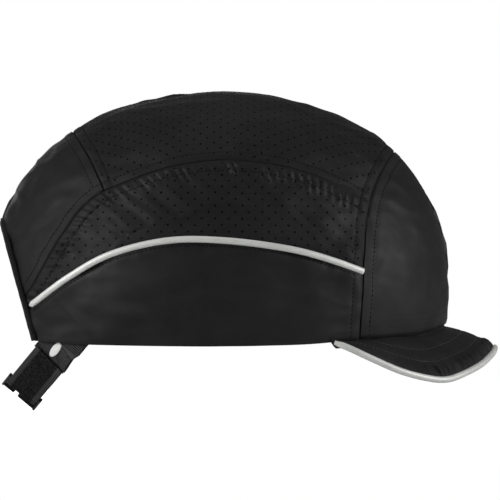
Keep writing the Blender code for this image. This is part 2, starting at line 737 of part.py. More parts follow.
def build_anchor(name, side, region, webbing):
    """The end of the elastic, sewn flat inside the crown above the hem."""
    foot = Vector(STRAP_FOOT)
    up = Vector((-STRAP_DOWN.x, -STRAP_DOWN.z))
    across = Vector((STRAP_WIDTHWAYS.x, STRAP_WIDTHWAYS.z)) * (ELASTIC_WIDTH / 2)
    low = foot - up * ELASTIC_WIDTH
    high = foot + up * ANCHOR_HEIGHT
    outline = [low - across, low + across, high + across, high - across]
    skin = crown_skin(name, STRAP_INSET - WEBBING / 2, WEBBING, webbing)
    keep(skin, region[side], region["above_band_hem"], side_region(name + "_outline", outline))


def build_strap(region, elastic, webbing, thread):
    _, radius, end = strap_frame()
    stacked = WEBBING + 2 * GAP
    near_bar, middle_bar, gate_bar = BUCKLE_BAR_ANGLES
    top_of_fold = 2 * (BAR_RADIUS + GAP + WEBBING / 2)
    hair = math.degrees(GAP / radius)
    elastic_end = degrees_from_hem(ELASTIC_LENGTH)
    tail_end = tail_end_degrees()

    for name, side in (("right", -1), ("left", 1)):
        build_anchor("strap_anchor_" + name, name, region, elastic)
        band = band_sheet("elastic_" + name,
                          arc_path(side * (end + ELASTIC_OVERRUN), side * elastic_end),
                          ELASTIC_WIDTH, WEBBING, elastic)
        keep(band, round_end_region("elastic_end_" + name, side))
        tack_start = tail_end + math.degrees(BARTACK_SPACE / radius)
        tack_end = tack_start + math.degrees(BARTACK_LENGTH / radius)
        out = WEBBING / 2 + GAP + BARTACK_THICKNESS / 2
        band_sheet("bartack_" + name,
                   arc_path(side * tack_end, side * tack_start, out),
                   BARTACK_WIDTH, BARTACK_THICKNESS, thread, 1)

    path = arc_path(-(elastic_end - hair), near_bar - FOLD_LEAD) + fold_path(near_bar, 1)
    band_sheet("base_tape", path, WEBBING_WIDTH, WEBBING, webbing)

    path = landing_path(near_bar - hair, -TAIL_LANDING, top_of_fold, stacked)
    path += arc_path(near_bar - TAIL_LANDING, -tail_end, stacked)
    band_sheet("tail_tape", path, WEBBING_WIDTH, WEBBING, webbing)

    path = arc_path(elastic_end - hair, middle_bar + FOLD_LEAD) + fold_path(middle_bar, -1)
    path += landing_path(middle_bar, BUCKLE_LANDING, top_of_fold, stacked)[1:]
    path += arc_path(middle_bar + BUCKLE_LANDING, gate_bar + BUCKLE_TAPE_END, stacked)
    band_sheet("buckle_tape", path, WEBBING_WIDTH, WEBBING, webbing)


def build_buckle(plastic):
    """Three bars between two arms. The outer bar is split, so a strap can be slipped off."""
    centre, radius, _ = strap_frame()
    axes = Matrix.Identity(4)
    axes.col[0][:3] = SIDEWAYS
    axes.col[1][:3] = STRAP_DOWN
    axes.col[2][:3] = SIDEWAYS.cross(STRAP_DOWN)
    axes.col[3][:3] = centre
    outs = (BAR_RADIUS + GAP + WEBBING / 2, BAR_RADIUS + GAP + WEBBING / 2, GATE_BAR_OUT)
    spots = []
    for degrees, out in zip(BUCKLE_BAR_ANGLES, outs):
        turn = math.radians(degrees)
        spots.append(Vector((math.sin(turn), math.cos(turn))) * (radius + out))

    half_slot = WEBBING_WIDTH / 2 + GAP
    half_length = half_slot + BUCKLE_ARM
    line = [spots[0] - Vector((BAR_RADIUS, 0.0)), *spots, spots[2] + Vector((GATE_RADIUS, BUCKLE_TIP_RISE))]
    outline = [*shifted(line, BUCKLE_ARM_DEPTH / 2),
               *reversed(shifted(line, -BUCKLE_ARM_DEPTH / 2))]
    arms = []
    for side in (-1, 1):
        offset = Matrix.Translation((0, 0, side * (half_slot + BUCKLE_ARM / 2)))
        arms.append(plate("buckle_arm", outline, BUCKLE_ARM, axes @ offset))
    buckle = add_object("slide_buckle", arms[0], parts, plastic)
    boolean(buckle, add_cutter("buckle_far_arm", arms[1]), "UNION")
    bar_radii = (BAR_RADIUS, BAR_RADIUS, GATE_RADIUS)
    for index, (spot, bar_radius) in enumerate(zip(spots, bar_radii)):
        bm = bmesh.new()
        bmesh.ops.create_cone(bm, cap_ends=True, segments=BUCKLE_BAR_SEGMENTS, radius1=bar_radius,
                              radius2=bar_radius, depth=2 * half_length - BUCKLE_ARM)
        bmesh.ops.transform(bm, verts=bm.verts, matrix=axes @ Matrix.Translation((*spot, 0)))
        bar = add_cutter(f"buckle_bar_{index + 1}", mesh_from(bm, "buckle_bar"))
        boolean(buckle, bar, "UNION")
    gate = rounded_box_outline(BUCKLE_GATE_CUTTER, BUCKLE_GATE_CUTTER, GATE_RADIUS, 2)
    place = Matrix.Translation((*spots[2], BUCKLE_GATE_OFFSET))
    cut(buckle, add_cutter("buckle_gate", plate("buckle_gate", gate, BUCKLE_GATE_GAP, axes @ place)))


def main():
    cloth = make_material("black_cloth", (0.022, 0.022, 0.024), 0.8)
    mesh_cloth = make_material("perforated_cloth", (0.014, 0.014, 0.015), 0.85)
    silver = make_material("reflective_tape", (0.5, 0.52, 0.5), 0.45)
    binding_cloth = make_material("binding_cloth", (0.02, 0.02, 0.02), 0.8)
    tape = make_material("seam_tape", (0.03, 0.03, 0.03), 0.85)
    shell_plastic = make_material("shell_plastic", (0.02, 0.02, 0.022), 0.4)
    foam = make_material("pad_foam", (0.035, 0.035, 0.038), 0.95)
    towelling = make_material("sweatband_towelling", (0.03, 0.03, 0.032), 0.95)
    board = make_material("brim_board", (0.05, 0.05, 0.05), 0.7)
    elastic = make_material("elastic_webbing", (0.015, 0.015, 0.015), 0.85)
    webbing = make_material("loop_webbing", (0.014, 0.014, 0.014), 0.95)
    thread = make_material("white_thread", (0.75, 0.75, 0.75), 0.8)
    buckle_plastic = make_material("buckle_plastic", (0.01, 0.01, 0.01), 0.35)

    region = build_regions()
    build_panels(region, cloth, mesh_cloth, silver, binding_cloth)
    build_seam_tapes(region, tape)
    build_shell(region, shell_plastic)
    build_pads(foam)
    build_sweatband(region, towelling)
    build_brim(board, cloth, silver)
    build_strap(region, elastic, webbing, thread)
    build_buckle(buckle_plastic)


clear_scene()
parts = make_collection("bump_cap")
cutters = make_collection("cutters")
main()
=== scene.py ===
import math

import bmesh
import bpy
from mathutils import Matrix, Vector, noise
from mathutils.geometry import intersect_line_line_2d
from mathutils.kdtree import KDTree


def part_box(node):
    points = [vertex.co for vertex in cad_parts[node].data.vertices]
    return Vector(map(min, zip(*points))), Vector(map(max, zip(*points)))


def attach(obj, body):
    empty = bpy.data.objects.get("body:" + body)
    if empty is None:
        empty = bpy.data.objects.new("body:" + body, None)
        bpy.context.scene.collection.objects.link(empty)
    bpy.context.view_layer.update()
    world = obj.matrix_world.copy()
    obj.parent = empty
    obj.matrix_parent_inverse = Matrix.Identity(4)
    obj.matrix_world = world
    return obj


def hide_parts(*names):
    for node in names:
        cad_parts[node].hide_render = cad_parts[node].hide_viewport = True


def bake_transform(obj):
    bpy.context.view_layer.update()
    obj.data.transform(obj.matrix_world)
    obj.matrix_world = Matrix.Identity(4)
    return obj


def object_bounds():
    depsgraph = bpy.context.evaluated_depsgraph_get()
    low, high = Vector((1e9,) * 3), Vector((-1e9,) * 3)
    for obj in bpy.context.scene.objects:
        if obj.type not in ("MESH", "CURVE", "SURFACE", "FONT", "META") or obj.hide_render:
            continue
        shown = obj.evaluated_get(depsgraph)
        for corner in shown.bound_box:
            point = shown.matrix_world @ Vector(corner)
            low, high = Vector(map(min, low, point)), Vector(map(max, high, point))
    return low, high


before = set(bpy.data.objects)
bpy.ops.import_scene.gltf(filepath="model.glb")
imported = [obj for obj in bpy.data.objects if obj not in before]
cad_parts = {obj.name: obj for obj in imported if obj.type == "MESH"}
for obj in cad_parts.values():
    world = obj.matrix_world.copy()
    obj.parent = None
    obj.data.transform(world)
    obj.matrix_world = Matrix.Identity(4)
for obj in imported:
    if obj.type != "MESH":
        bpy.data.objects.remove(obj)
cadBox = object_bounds()
scene = bpy.context.scene
mm = 0.001
sides = {"right": -1, "left": 1}

# The crown's own form, and its seams as (forward, up) in millimetres
crown = {
    "front": 118 * mm, "rear": 125 * mm, "halfWidth": 89 * mm,
    "height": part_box("top_panel")[1].z,
    "frontWidest": 30 * mm, "rearWidest": 20 * mm, "sideWidest": 22 * mm,
    "frontRoundness": 2.15, "rearRoundness": 2.25, "sideRoundness": 2.2,
    "hemTuck": 0.012, "egg": 0.04,
}
seamLines = {
    "front": [(70.5, -8), (71.3, 16), (73.4, 50), (76.2, 74), (81.5, 90), (88.5, 101), (103, 118)],
    "rear": [(-97, 137), (-88, 124), (-78.3, 110), (-70.7, 97.7), (-63.6, 82.2), (-58, 66)],
    "side": [(-118, 12), (-100.8, 32), (-88.3, 54), (-71.7, 76), (-51.3, 86.5), (-27.8, 94),
             (0, 97.3), (27.7, 94.6), (51, 88.5), (73, 77.5), (92, 66)],
    "piping": [(-118, 10), (-101.6, 21.3), (-81.6, 36), (-59.4, 48), (-29.8, 55), (0, 55),
               (32.8, 50.8), (55.3, 45), (80, 36)],
    "hem": [(-130, 4), (-98.5, 2.2), (-65.9, 0.3), (-13.2, -0.5), (39.5, 0.5), (70.6, 3.3),
            (92.2, 4.5), (105.4, 6.2), (113.3, 9), (118, 12.5), (130, 20)],
    "opening": [(-91.6, -32.2), (-101.5, 3.5), (-118, 63), (-140, 142.3)],
}


def crownShare(level, widest, roundness, top):
    if level < widest:
        return 1 - crown["hemTuck"] * ((widest - level) / widest) ** 2
    height = min((level - widest) / (top - widest), 1.0)
    return max(1 - height ** roundness, 0.0) ** (1 / roundness)


def crownReaches(level, inset=0.0):
    top = crown["height"] - inset
    return [(crown[size] - inset) * crownShare(level, crown[part + "Widest"],
                                               crown[part + "Roundness"], top)
            for size, part in (("front", "front"), ("rear", "rear"), ("halfWidth", "side"))]


def crownSide(forward, level, inset=0.0):
    front, rear, side = crownReaches(level, inset)
    share = forward / max(front if forward > 0 else rear, 1e-9)
    share = max(-1.0, min(1.0, share))
    return side * math.sqrt(1 - share * share) * (1 - crown["egg"] * share)


def sidePoint(forward, level, side, inset=0.0):
    return Vector((forward, side * crownSide(forward, level, inset), level))


def roundPoint(turn, level, inset=0.0):
    front, rear, side = crownReaches(level, inset)
    ahead = math.cos(turn)
    width = side * math.sin(turn) * (1 - crown["egg"] * ahead)
    return Vector(((front if ahead > 0 else rear) * ahead, width, level))


def planPoint(forward, width, inset=0.0):
    low, high = 25 * mm, crown["height"] - inset
    for _ in range(26):
        level = (low + high) / 2
        if crownSide(forward, level, inset) > abs(width) and (
                -crownReaches(level, inset)[1] < forward < crownReaches(level, inset)[0]):
            low = level
        else:
            high = level
    return Vector((forward, width, (low + high) / 2))


def smoothLine(points, steps=12):
    # a Catmull-Rom line through given points
    spots = [Vector(point) for point in points]
    spots = [spots[0] * 2 - spots[1], *spots, spots[-1] * 2 - spots[-2]]
    line = []
    for a, b, c, d in zip(spots, spots[1:], spots[2:], spots[3:]):
        for step in range(steps):
            t = step / steps
            line.append(0.5 * (2 * b + (c - a) * t + (2 * a - 5 * b + 4 * c - d) * t * t
                               + (3 * b - a - 3 * c + d) * t ** 3))
    return [*line, spots[-2]]


def evenLine(line, spacing=None, count=None):
    # the same line with its points a spacing apart, or a number of equal steps
    lengths = [0.0]
    for start, end in zip(line, line[1:]):
        lengths.append(lengths[-1] + (end - start).length)
    count = count or max(1, round(lengths[-1] / spacing))
    even = []
    index = 0
    for step in range(count + 1):
        goal = lengths[-1] * step / count
        while index < len(line) - 2 and lengths[index + 1] < goal:
            index += 1
        part = lengths[index + 1] - lengths[index]
        even.append(line[index].lerp(line[index + 1], (goal - lengths[index]) / part if part else 0))
    return even


def heading(line, index):
    # the direction of a line at one of its points
    return (line[min(index + 1, len(line) - 1)] - line[max(index - 1, 0)]).normalized()


def treeOf(spots):
    tree = KDTree(len(spots))
    for index, spot in enumerate(spots):
        tree.insert(spot, index)
    tree.balance()
    return tree


seamStep = 0.4 * mm


def seamOf(points):
    line = evenLine([Vector(point) * mm for point in smoothLine(points)], spacing=seamStep)
    return {"line": line, "tree": treeOf([(*spot, 0) for spot in line])}


def offsetFrom(name, forward, level):
    # distance from a seam, above or behind being positive, and the length along it
    index = seams[name]["tree"].find((forward, level, 0))[1]
    line = seams[name]["line"]
    along = heading(line, index)
    gap = Vector((forward, level)) - line[index]
    return gap.dot(Vector((-along.y, along.x))), index * seamStep + gap.dot(along)


def aside(name, forward, level):
    return offsetFrom(name, forward, level)[0]


seams = {name: seamOf(points) for name, points in seamLines.items()}


def crossing(first, second):
    for a, b in zip(seams[first]["line"], seams[first]["line"][1:]):
        for c, d in zip(seams[second]["line"][::3], seams[second]["line"][3::3]):
            spot = intersect_line_line_2d(a, b, c, d)
            if spot:
                return spot
    return None


def between(name, start, end):
    # the part of a seam between two places, in that direction
    tree = seams[name]["tree"]
    first, last = tree.find((*start, 0))[1], tree.find((*end, 0))[1]
    line = seams[name]["line"]
    part = line[first + 1:last] if first < last else line[last + 1:first][::-1]
    return [start, *part, end]


def follow(line, steps=240):
    # a line as a function of the share of its length
    even = evenLine(line, count=steps)

    def at(share):
        place = max(0.0, min(share, 1.0)) * steps
        index = min(int(place), steps - 1)
        return even[index].lerp(even[index + 1], place - index)
    return at


def patch(low, high, first, last):
    # blends four edges: low and high run along, first and last run across
    low, high, first, last = follow(low), follow(high), follow(first), follow(last)

    def at(along, across):
        flat = (low(along) * (1 - across) + high(along) * across
                + first(across) * (1 - along) + last(across) * along)
        corner = (low(0) * (1 - along) * (1 - across) + low(1) * along * (1 - across)
                  + high(0) * (1 - along) * across + high(1) * along * across)
        return flat - corner
    return at


# ---- finishes

def addNode(tree, kind, inputs=None, **settings):
    item = tree.nodes.new("ShaderNode" + kind)
    for key, value in settings.items():
        setattr(item, key, value)
    for key, value in (inputs or {}).items():
        if isinstance(value, bpy.types.NodeSocket):
            tree.links.new(value, item.inputs[key])
        else:
            item.inputs[key].default_value = value
    return item


def startMaterial(name, **values):
    material = bpy.data.materials.new(name)
    material.use_nodes = True
    tree = material.node_tree
    shader = tree.nodes["Principled BSDF"]
    for key, value in values.items():
        shader.inputs[key.replace("_", " ")].default_value = value
    return material, tree, shader


def mixColours(tree, factor, dark, light):
    mix = addNode(tree, "Mix", data_type="RGBA")
    tree.links.new(factor, mix.inputs[0])
    for index, colour in ((6, dark), (7, light)):
        if isinstance(colour, bpy.types.NodeSocket):
            tree.links.new(colour, mix.inputs[index])
        else:
            mix.inputs[index].default_value = (*colour, 1)
    return mix.outputs[2]


def combine(tree, operation, first, second):
    item = addNode(tree, "Math", operation=operation)
    for socket, value in zip(item.inputs, (first, second)):
        if isinstance(value, bpy.types.NodeSocket):
            tree.links.new(value, socket)
        else:
            socket.default_value = value
    return item.outputs[0]


def remap(tree, value, start, end, low=0.0, high=1.0):
    # takes start..end to low..high, and stays within them
    return addNode(tree, "MapRange", {"Value": value, "From Min": start, "From Max": end,
                                      "To Min": low, "To Max": high}).outputs[0]


def addBump(tree, shader, height, distance, strength=1.0):
    bump = addNode(tree, "Bump", {"Height": height, "Distance": distance, "Strength": strength})
    tree.links.new(bump.outputs[0], shader.inputs["Normal"])


def clothMaterial(name, dark, light, thread, weaveDepth, roughness, sheen):
    # a fine plain weave on the piece's own fabric directions, and broad soft patches of painted sheen
    material, tree, shader = startMaterial(name, Sheen_Weight=sheen, Sheen_Roughness=0.5,
                                           Specular_IOR_Level=0.22)
    fabric = addNode(tree, "TexCoord").outputs["UV"]
    place = addNode(tree, "TexCoord").outputs["Object"]
    threads = [addNode(tree, "TexWave", {"Vector": fabric, "Scale": 0.314 / thread, "Distortion": 0.4,
                                         "Detail": 1.0, "Detail Scale": 2.0}, bands_direction=way)
               for way in "XY"]
    weave = combine(tree, "MULTIPLY", threads[0].outputs["Fac"], threads[1].outputs["Fac"])
    # broad soft patches of painted sheen: they lighten the base colour where the cloth would catch
    # soft highlights, and they also vary its roughness
    paintedSheenPatches = addNode(tree, "TexNoise", {"Vector": place, "Scale": 30.0, "Detail": 5.0,
                                         "Roughness": 0.62, "Distortion": 0.4})
    cloud = remap(tree, paintedSheenPatches.outputs["Fac"], 0.40, 0.66)
    grain = addNode(tree, "TexNoise", {"Vector": place, "Scale": 1400.0, "Detail": 2.0})
    tone = combine(tree, "ADD", combine(tree, "MULTIPLY", cloud, 0.7),
                   combine(tree, "MULTIPLY", weave, 0.25))
    tone = combine(tree, "ADD", tone, combine(tree, "MULTIPLY", grain.outputs["Fac"], 0.15))
    tree.links.new(mixColours(tree, tone, dark, light), shader.inputs["Base Color"])
    tree.links.new(remap(tree, cloud, 0.0, 1.0, roughness + 0.08, roughness - 0.08),
                   shader.inputs["Roughness"])
    height = combine(tree, "ADD", weave, combine(tree, "MULTIPLY", grain.outputs["Fac"], 0.8))
    addBump(tree, shader, height, weaveDepth, 0.5)
    return material


def reflectiveMaterial():
    material, tree, shader = startMaterial("silverReflective", Metallic=0.35,
                                           Specular_IOR_Level=0.5)
    place = addNode(tree, "TexCoord").outputs["Object"]
    beads = addNode(tree, "TexVoronoi", {"Vector": place, "Scale": 2600.0})
    cloud = addNode(tree, "TexNoise", {"Vector": place, "Scale": 160.0, "Detail": 3.0})
    tone = combine(tree, "ADD", combine(tree, "MULTIPLY", beads.outputs["Distance"], 0.35),
                   combine(tree, "MULTIPLY", cloud.outputs["Fac"], 0.5))
    tree.links.new(mixColours(tree, tone, (0.60, 0.61, 0.59), (0.90, 0.91, 0.88)),
                   shader.inputs["Base Color"])
    tree.links.new(remap(tree, cloud.outputs["Fac"], 0.0, 1.0, 0.42, 0.6),
                   shader.inputs["Roughness"])
    addBump(tree, shader, beads.outputs["Distance"], 0.00006, 0.5)
    return material


def threadMaterial(name, colour, roughness=0.75):
    material, tree, shader = startMaterial(name, Roughness=roughness, Specular_IOR_Level=0.2)
    place = addNode(tree, "TexCoord").outputs["Object"]
    twist = addNode(tree, "TexNoise", {"Vector": place, "Scale": 3000.0, "Detail": 2.0})
    dark = [value * 0.6 for value in colour]
    tree.links.new(mixColours(tree, twist.outputs["Fac"], dark, colour), shader.inputs["Base Color"])
    addBump(tree, shader, twist.outputs["Fac"], 0.0001, 0.6)
    return material


def ribbedMaterial():
    # elastic webbing with pale ribs across it
    material, tree, shader = startMaterial("elasticWebbing", Roughness=0.75,
                                           Specular_IOR_Level=0.2)
    fabric = addNode(tree, "TexCoord").outputs["UV"]
    place = addNode(tree, "TexCoord").outputs["Object"]
    ribs = addNode(tree, "TexWave", {"Vector": fabric, "Scale": 0.314 / webbing["ribPitch"],
                                     "Distortion": 0.5, "Detail": 2.0}, bands_direction="X")
    grain = addNode(tree, "TexNoise", {"Vector": place, "Scale": 1500.0, "Detail": 2.0})
    ribs = remap(tree, ribs.outputs["Fac"], 0.45, 0.85)
    tone = combine(tree, "MULTIPLY", ribs, combine(tree, "ADD", grain.outputs["Fac"], 0.4))
    tree.links.new(mixColours(tree, tone, (0.0015, 0.0015, 0.0015), (0.06, 0.06, 0.062)),
                   shader.inputs["Base Color"])
    addBump(tree, shader, tone, 0.00015, 0.7)
    return material


def loopTapeMaterial():
    # dark tangled loops between two smooth paler edges
    material, tree, shader = startMaterial("loopTape", Roughness=0.85, Specular_IOR_Level=0.15)
    fabric = addNode(tree, "TexCoord").outputs["UV"]
    place = addNode(tree, "TexCoord").outputs["Object"]
    wide = addNode(tree, "SeparateXYZ", {"Vector": fabric}).outputs["Y"]
    edge = remap(tree, combine(tree, "ABSOLUTE", wide, 0.0), webbing["loopHalf"] - 0.5 * mm,
                 webbing["loopHalf"])
    tangle = addNode(tree, "TexNoise", {"Vector": place, "Scale": 1100.0, "Detail": 3.0})
    spots = remap(tree, tangle.outputs["Fac"], 0.42, 0.62)
    cords = addNode(tree, "TexWave", {"Vector": fabric, "Scale": 0.314 / webbing["edgePitch"],
                                      "Distortion": 0.6}, bands_direction="Y")
    loops = mixColours(tree, spots, (0.001, 0.001, 0.001), (0.024, 0.024, 0.025))
    border = mixColours(tree, cords.outputs["Fac"], (0.030, 0.030, 0.030), (0.064, 0.064, 0.065))
    tree.links.new(mixColours(tree, edge, loops, border), shader.inputs["Base Color"])
    addBump(tree, shader, spots, 0.0002, 0.6)
    return material


def bartackMaterial():
    # packed white zigzag stitches, with small gaps where the webbing shows
    material, tree, shader = startMaterial("bartackThread", Roughness=0.7, Specular_IOR_Level=0.2)
    place = addNode(tree, "TexCoord").outputs["Object"]
    gaps = addNode(tree, "TexVoronoi", {"Vector": place, "Scale": 1100.0})
    packed = remap(tree, gaps.outputs["Distance"], 0.06, 0.2)
    tree.links.new(mixColours(tree, packed, (0.05, 0.05, 0.05), (0.86, 0.86, 0.85)),
                   shader.inputs["Base Color"])
    addBump(tree, shader, gaps.outputs["Distance"], 0.0003, 0.7)
    return material


def foamMaterial():
    material, tree, shader = startMaterial("padFoam", Roughness=0.92)
    place = addNode(tree, "TexCoord").outputs["Object"]
    cells = addNode(tree, "TexVoronoi", {"Vector": place, "Scale": 1100.0})
    cloud = addNode(tree, "TexNoise", {"Vector": place, "Scale": 70.0, "Detail": 3.0})
    tone = combine(tree, "MULTIPLY", cells.outputs["Distance"], cloud.outputs["Fac"])
    tree.links.new(mixColours(tree, tone, (0.022, 0.022, 0.024), (0.060, 0.060, 0.064)),
                   shader.inputs["Base Color"])
    addBump(tree, shader, cells.outputs["Distance"], 0.0002, 0.6)
    return material


def plasticMaterial(name, colour, roughness, scale, depth, gloss=0.5):
    material, tree, shader = startMaterial(name, Specular_IOR_Level=gloss)
    place = addNode(tree, "TexCoord").outputs["Object"]
    grain = addNode(tree, "TexNoise", {"Vector": place, "Scale": scale, "Detail": 3.0})
    cloud = addNode(tree, "TexNoise", {"Vector": place, "Scale": 45.0, "Detail": 2.0})
    light = [value * 1.5 for value in colour]
    tree.links.new(mixColours(tree, cloud.outputs["Fac"], colour, light), shader.inputs["Base Color"])
    tree.links.new(remap(tree, cloud.outputs["Fac"], 0.0, 1.0, roughness - 0.08, roughness + 0.08),
                   shader.inputs["Roughness"])
    addBump(tree, shader, grain.outputs["Fac"], depth, 0.5)
    return material


webbing = {"ribPitch": 1.0 * mm, "loopHalf": 7.0 * mm, "edgePitch": 0.9 * mm}
finish = {
    "cloth": clothMaterial("blackCloth", (0.0055, 0.0055, 0.0057), (0.014, 0.014, 0.0144),
                           0.00035, 0.00004, 0.52, 0.02),
    "meshCloth": clothMaterial("perforatedCloth", (0.0045, 0.0045, 0.0048), (0.012, 0.012, 0.0124),
                               0.00035, 0.00004, 0.54, 0.02),
    "binding": clothMaterial("bindingCloth", (0.004, 0.004, 0.004), (0.012, 0.012, 0.012),
                             0.0005, 0.0001, 0.7, 0.02),
    "silver": reflectiveMaterial(),
    "thread": threadMaterial("blackThread", (0.003, 0.003, 0.0033)),
    "greyThread": threadMaterial("greyThread", (0.10, 0.10, 0.10)),
    "bartack": bartackMaterial(),
    "brimCloth": clothMaterial("brimCloth", (0.004, 0.004, 0.0042), (0.017, 0.017, 0.0175),
                               0.0007, 0.00014, 0.6, 0.03),
    "elastic": ribbedMaterial(),
    "loopTape": loopTapeMaterial(),
    "terry": threadMaterial("terryCloth", (0.030, 0.030, 0.031), 0.9),
    "foam": foamMaterial(),
    "shell": plasticMaterial("shellPlastic", (0.003, 0.003, 0.0032), 0.55, 900.0, 0.00004, 0.2),
    "board": plasticMaterial("brimBoard", (0.035, 0.035, 0.035), 0.6, 300.0, 0.00008),
    "buckle": plasticMaterial("bucklePlastic", (0.002, 0.002, 0.002), 0.5, 1500.0, 0.00002, 0.25),
}
print("finishes ready")


# ---- shared modelling steps

def joinInto(bm, part):
    # adds a part made on its own, which is quicker than making it in place
    mesh = bpy.data.meshes.new("part")
    part.to_mesh(mesh)
    part.free()
    bm.from_mesh(mesh)
    bpy.data.meshes.remove(mesh)


def clothGrid(columns, rows, fabricAt):
    # a unit grid whose fabric coordinates are fabricAt(along, across), both from 0 to 1
    bm = bmesh.new()
    fabric = bm.loops.layers.uv.verify()
    bmesh.ops.create_grid(bm, x_segments=columns, y_segments=rows, size=0.5)
    for face in bm.faces:
        for loop in face.loops:
            loop[fabric].uv = fabricAt(loop.vert.co.x + 0.5, loop.vert.co.y + 0.5)
    return bm


def faceOutward(bm):
    bmesh.ops.recalc_face_normals(bm, faces=bm.faces)
    bm.faces.ensure_lookup_table()
    middle = bm.faces[len(bm.faces) // 2]
    if middle.normal.dot(middle.calc_center_median() - Vector((0, 0, 30 * mm))) < 0:
        bmesh.ops.reverse_faces(bm, faces=bm.faces)


def addPiece(name, bm, material, body, nodes=(), thickness=None, sharp=40, offset=-1.0,
             sharpRims=False):
    mesh = bpy.data.meshes.new(name)
    bm.edges.index_update()
    rims = [edge.index for edge in bm.edges if edge.is_boundary] if sharpRims else []
    bm.to_mesh(mesh)
    bm.free()
    mesh.shade_smooth()
    mesh.set_sharp_from_angle(angle=math.radians(sharp))
    for index in rims:
        mesh.edges[index].use_edge_sharp = True
    mesh.materials.append(finish[material])
    piece = bpy.data.objects.new(name, mesh)
    scene.collection.objects.link(piece)
    if thickness:
        wall = piece.modifiers.new("wall", "SOLIDIFY")
        wall.thickness = thickness
        wall.offset = offset
        wall.use_even_offset = False
    if body:
        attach(piece, body)
    if nodes:
        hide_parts(*nodes)
    return piece


def bell(distance, width):
    return math.exp(-(distance / width) ** 2)


def ramp(value, start, end):
    share = max(0.0, min(1.0, (value - start) / (end - start)))
    return share * share * (3 - 2 * share)


# How the cloth lies: seams sink, the layers between two stitch rows stand up
relief = {
    "seamDepth": 0.75 * mm, "seamWidth": 0.36 * mm,
    "layers": 0.1 * mm, "pinch": 0.24 * mm, "pinchWidth": 0.6 * mm,
    "frontStitches": (5.0 * mm, -5.0 * mm), "rearStitches": (5.0 * mm, -5.0 * mm),
    "sideStitches": (4.0 * mm, -5.3 * mm),
    "pipingStitch": -3.1 * mm, "pipingSink": 0.7 * mm, "pipingHollow": 2.3 * mm,
    "puckerLength": 4.7 * mm, "puckerHeight": 0.48 * mm, "puckerFade": (5 * mm, 11 * mm),
    "dragHeight": 1.1 * mm, "dragTurn": math.radians(-38), "dragSize": (34 * mm, 8.5 * mm),
    "fineDragSize": (20 * mm, 5 * mm), "hemHeight": 0.22 * mm, "hemPitch": 4.2 * mm,
    "looseness": 1.7 * mm, "creases": 1.1 * mm, "ripple": 0.8 * mm,
}


def seamRelief(offset, stitches):
    upper, lower = stitches
    if not lower - 4 * mm < offset < upper + 4 * mm:
        return 0.0
    height = -relief["seamDepth"] * bell(offset, relief["seamWidth"])
    height += relief["layers"] * (1 - ramp(offset, upper - 0.3 * mm, upper + 0.8 * mm)) * (
        ramp(offset, lower - 0.8 * mm, lower + 0.3 * mm))
    for row in stitches:
        height -= relief["pinch"] * bell(offset - row, relief["pinchWidth"])
    return height


def puckers(alongSide, aboveSide, seed):
    # gathers between the side seam and its lower stitch row
    shift = 0.9 * mm * noise.noise(Vector((alongSide * 90, seed, 4.0))) + 0.5 * aboveSide
    gather = math.sin(math.tau * (alongSide + shift) / relief["puckerLength"])
    gather *= 0.75 + 1.3 * noise.noise(Vector((alongSide * 110, seed + 9, 1.0)))
    window = ramp(-aboveSide, 0.0, 1.5 * mm) * (1 - ramp(-aboveSide, *relief["puckerFade"]))
    return relief["puckerHeight"] * gather * window


def dragLines(forward, level, aboveSide, abovePiping, seed):
    # long slanting folds between the gathers and the piping
    turn = relief["dragTurn"]
    run = forward * math.cos(turn) + level * math.sin(turn)
    cross = -forward * math.sin(turn) + level * math.cos(turn)
    fold = 0.0
    for share, (length, width), depth in ((1.0, relief["dragSize"], 20),
                                          (0.5, relief["fineDragSize"], 31)):
        fold += share * noise.noise(Vector((run / length, cross / width, seed + depth)))
    window = ramp(-aboveSide, 2 * mm, 8 * mm) * ramp(abovePiping, 0, 7 * mm)
    return relief["dragHeight"] * fold * window


def clothHeight(point):
    # how far the cloth stands out from the crown's form at a place on it
    forward, width, level = point
    hand = 1 if width > 0 else -1
    aboveSide, alongSide = offsetFrom("side", forward, level)
    abovePiping, alongPiping = offsetFrom("piping", forward, level)
    behindFront = aside("front", forward, level)
    aheadRear = aside("rear", forward, level)
    height = seamRelief(behindFront, relief["frontStitches"])
    behindSeam = ramp(behindFront, -0.5 * mm, 1.0 * mm)
    height += seamRelief(aboveSide, relief["sideStitches"]) * behindSeam
    if aboveSide > -1 * mm:
        height += seamRelief(aheadRear, relief["rearStitches"]) * ramp(aboveSide, -0.5 * mm, 1.5 * mm)
    height -= relief["pipingSink"] * bell(abovePiping, relief["pipingHollow"]) * behindSeam
    height -= relief["pinch"] * bell(abovePiping - relief["pipingStitch"], 0.8 * mm) * behindSeam
    seed = 3.0 * hand
    if -26 * mm < aboveSide < 1 * mm and abovePiping > -1 * mm:
        height += puckers(alongSide, aboveSide, seed) * behindSeam
        height += dragLines(forward, level, aboveSide, abovePiping, seed) * behindSeam
    if abovePiping < 0 and behindSeam > 0:
        gather = noise.noise(Vector((alongPiping / relief["hemPitch"], abovePiping * 60, seed + 40)))
        height += relief["hemHeight"] * gather * (1 - ramp(-abovePiping, 4 * mm, 9 * mm)) * behindSeam
    loose = noise.noise(Vector((forward, width, level)) * 24 + Vector((0.3, 0.1, seed)))
    crease = noise.noise(Vector((26 * (forward - 0.7 * level), 20 * width + seed,
                                 66 * (level + 0.7 * forward))))
    crease = (1 - abs(crease)) ** 4
    where = ramp(noise.noise(Vector((forward, width, level)) * 18 + Vector((5, 2, seed))), -0.1, 0.4)
    ripple = noise.noise(Vector((forward * 0.5, width, level * 1.6)) * 95 + Vector((0, 7, seed)))
    return (height + relief["looseness"] * loose + relief["creases"] * (crease - 0.5) * where
            + relief["ripple"] * ripple)


def edgeRows(share, count, first=0.4):
    # the first row inside each edge lies close to it
    row = share * count
    if 0.5 < row < 1.5:
        return first / count
    if count - 1.5 < row < count - 0.5:
        return (count - first) / count
    return share


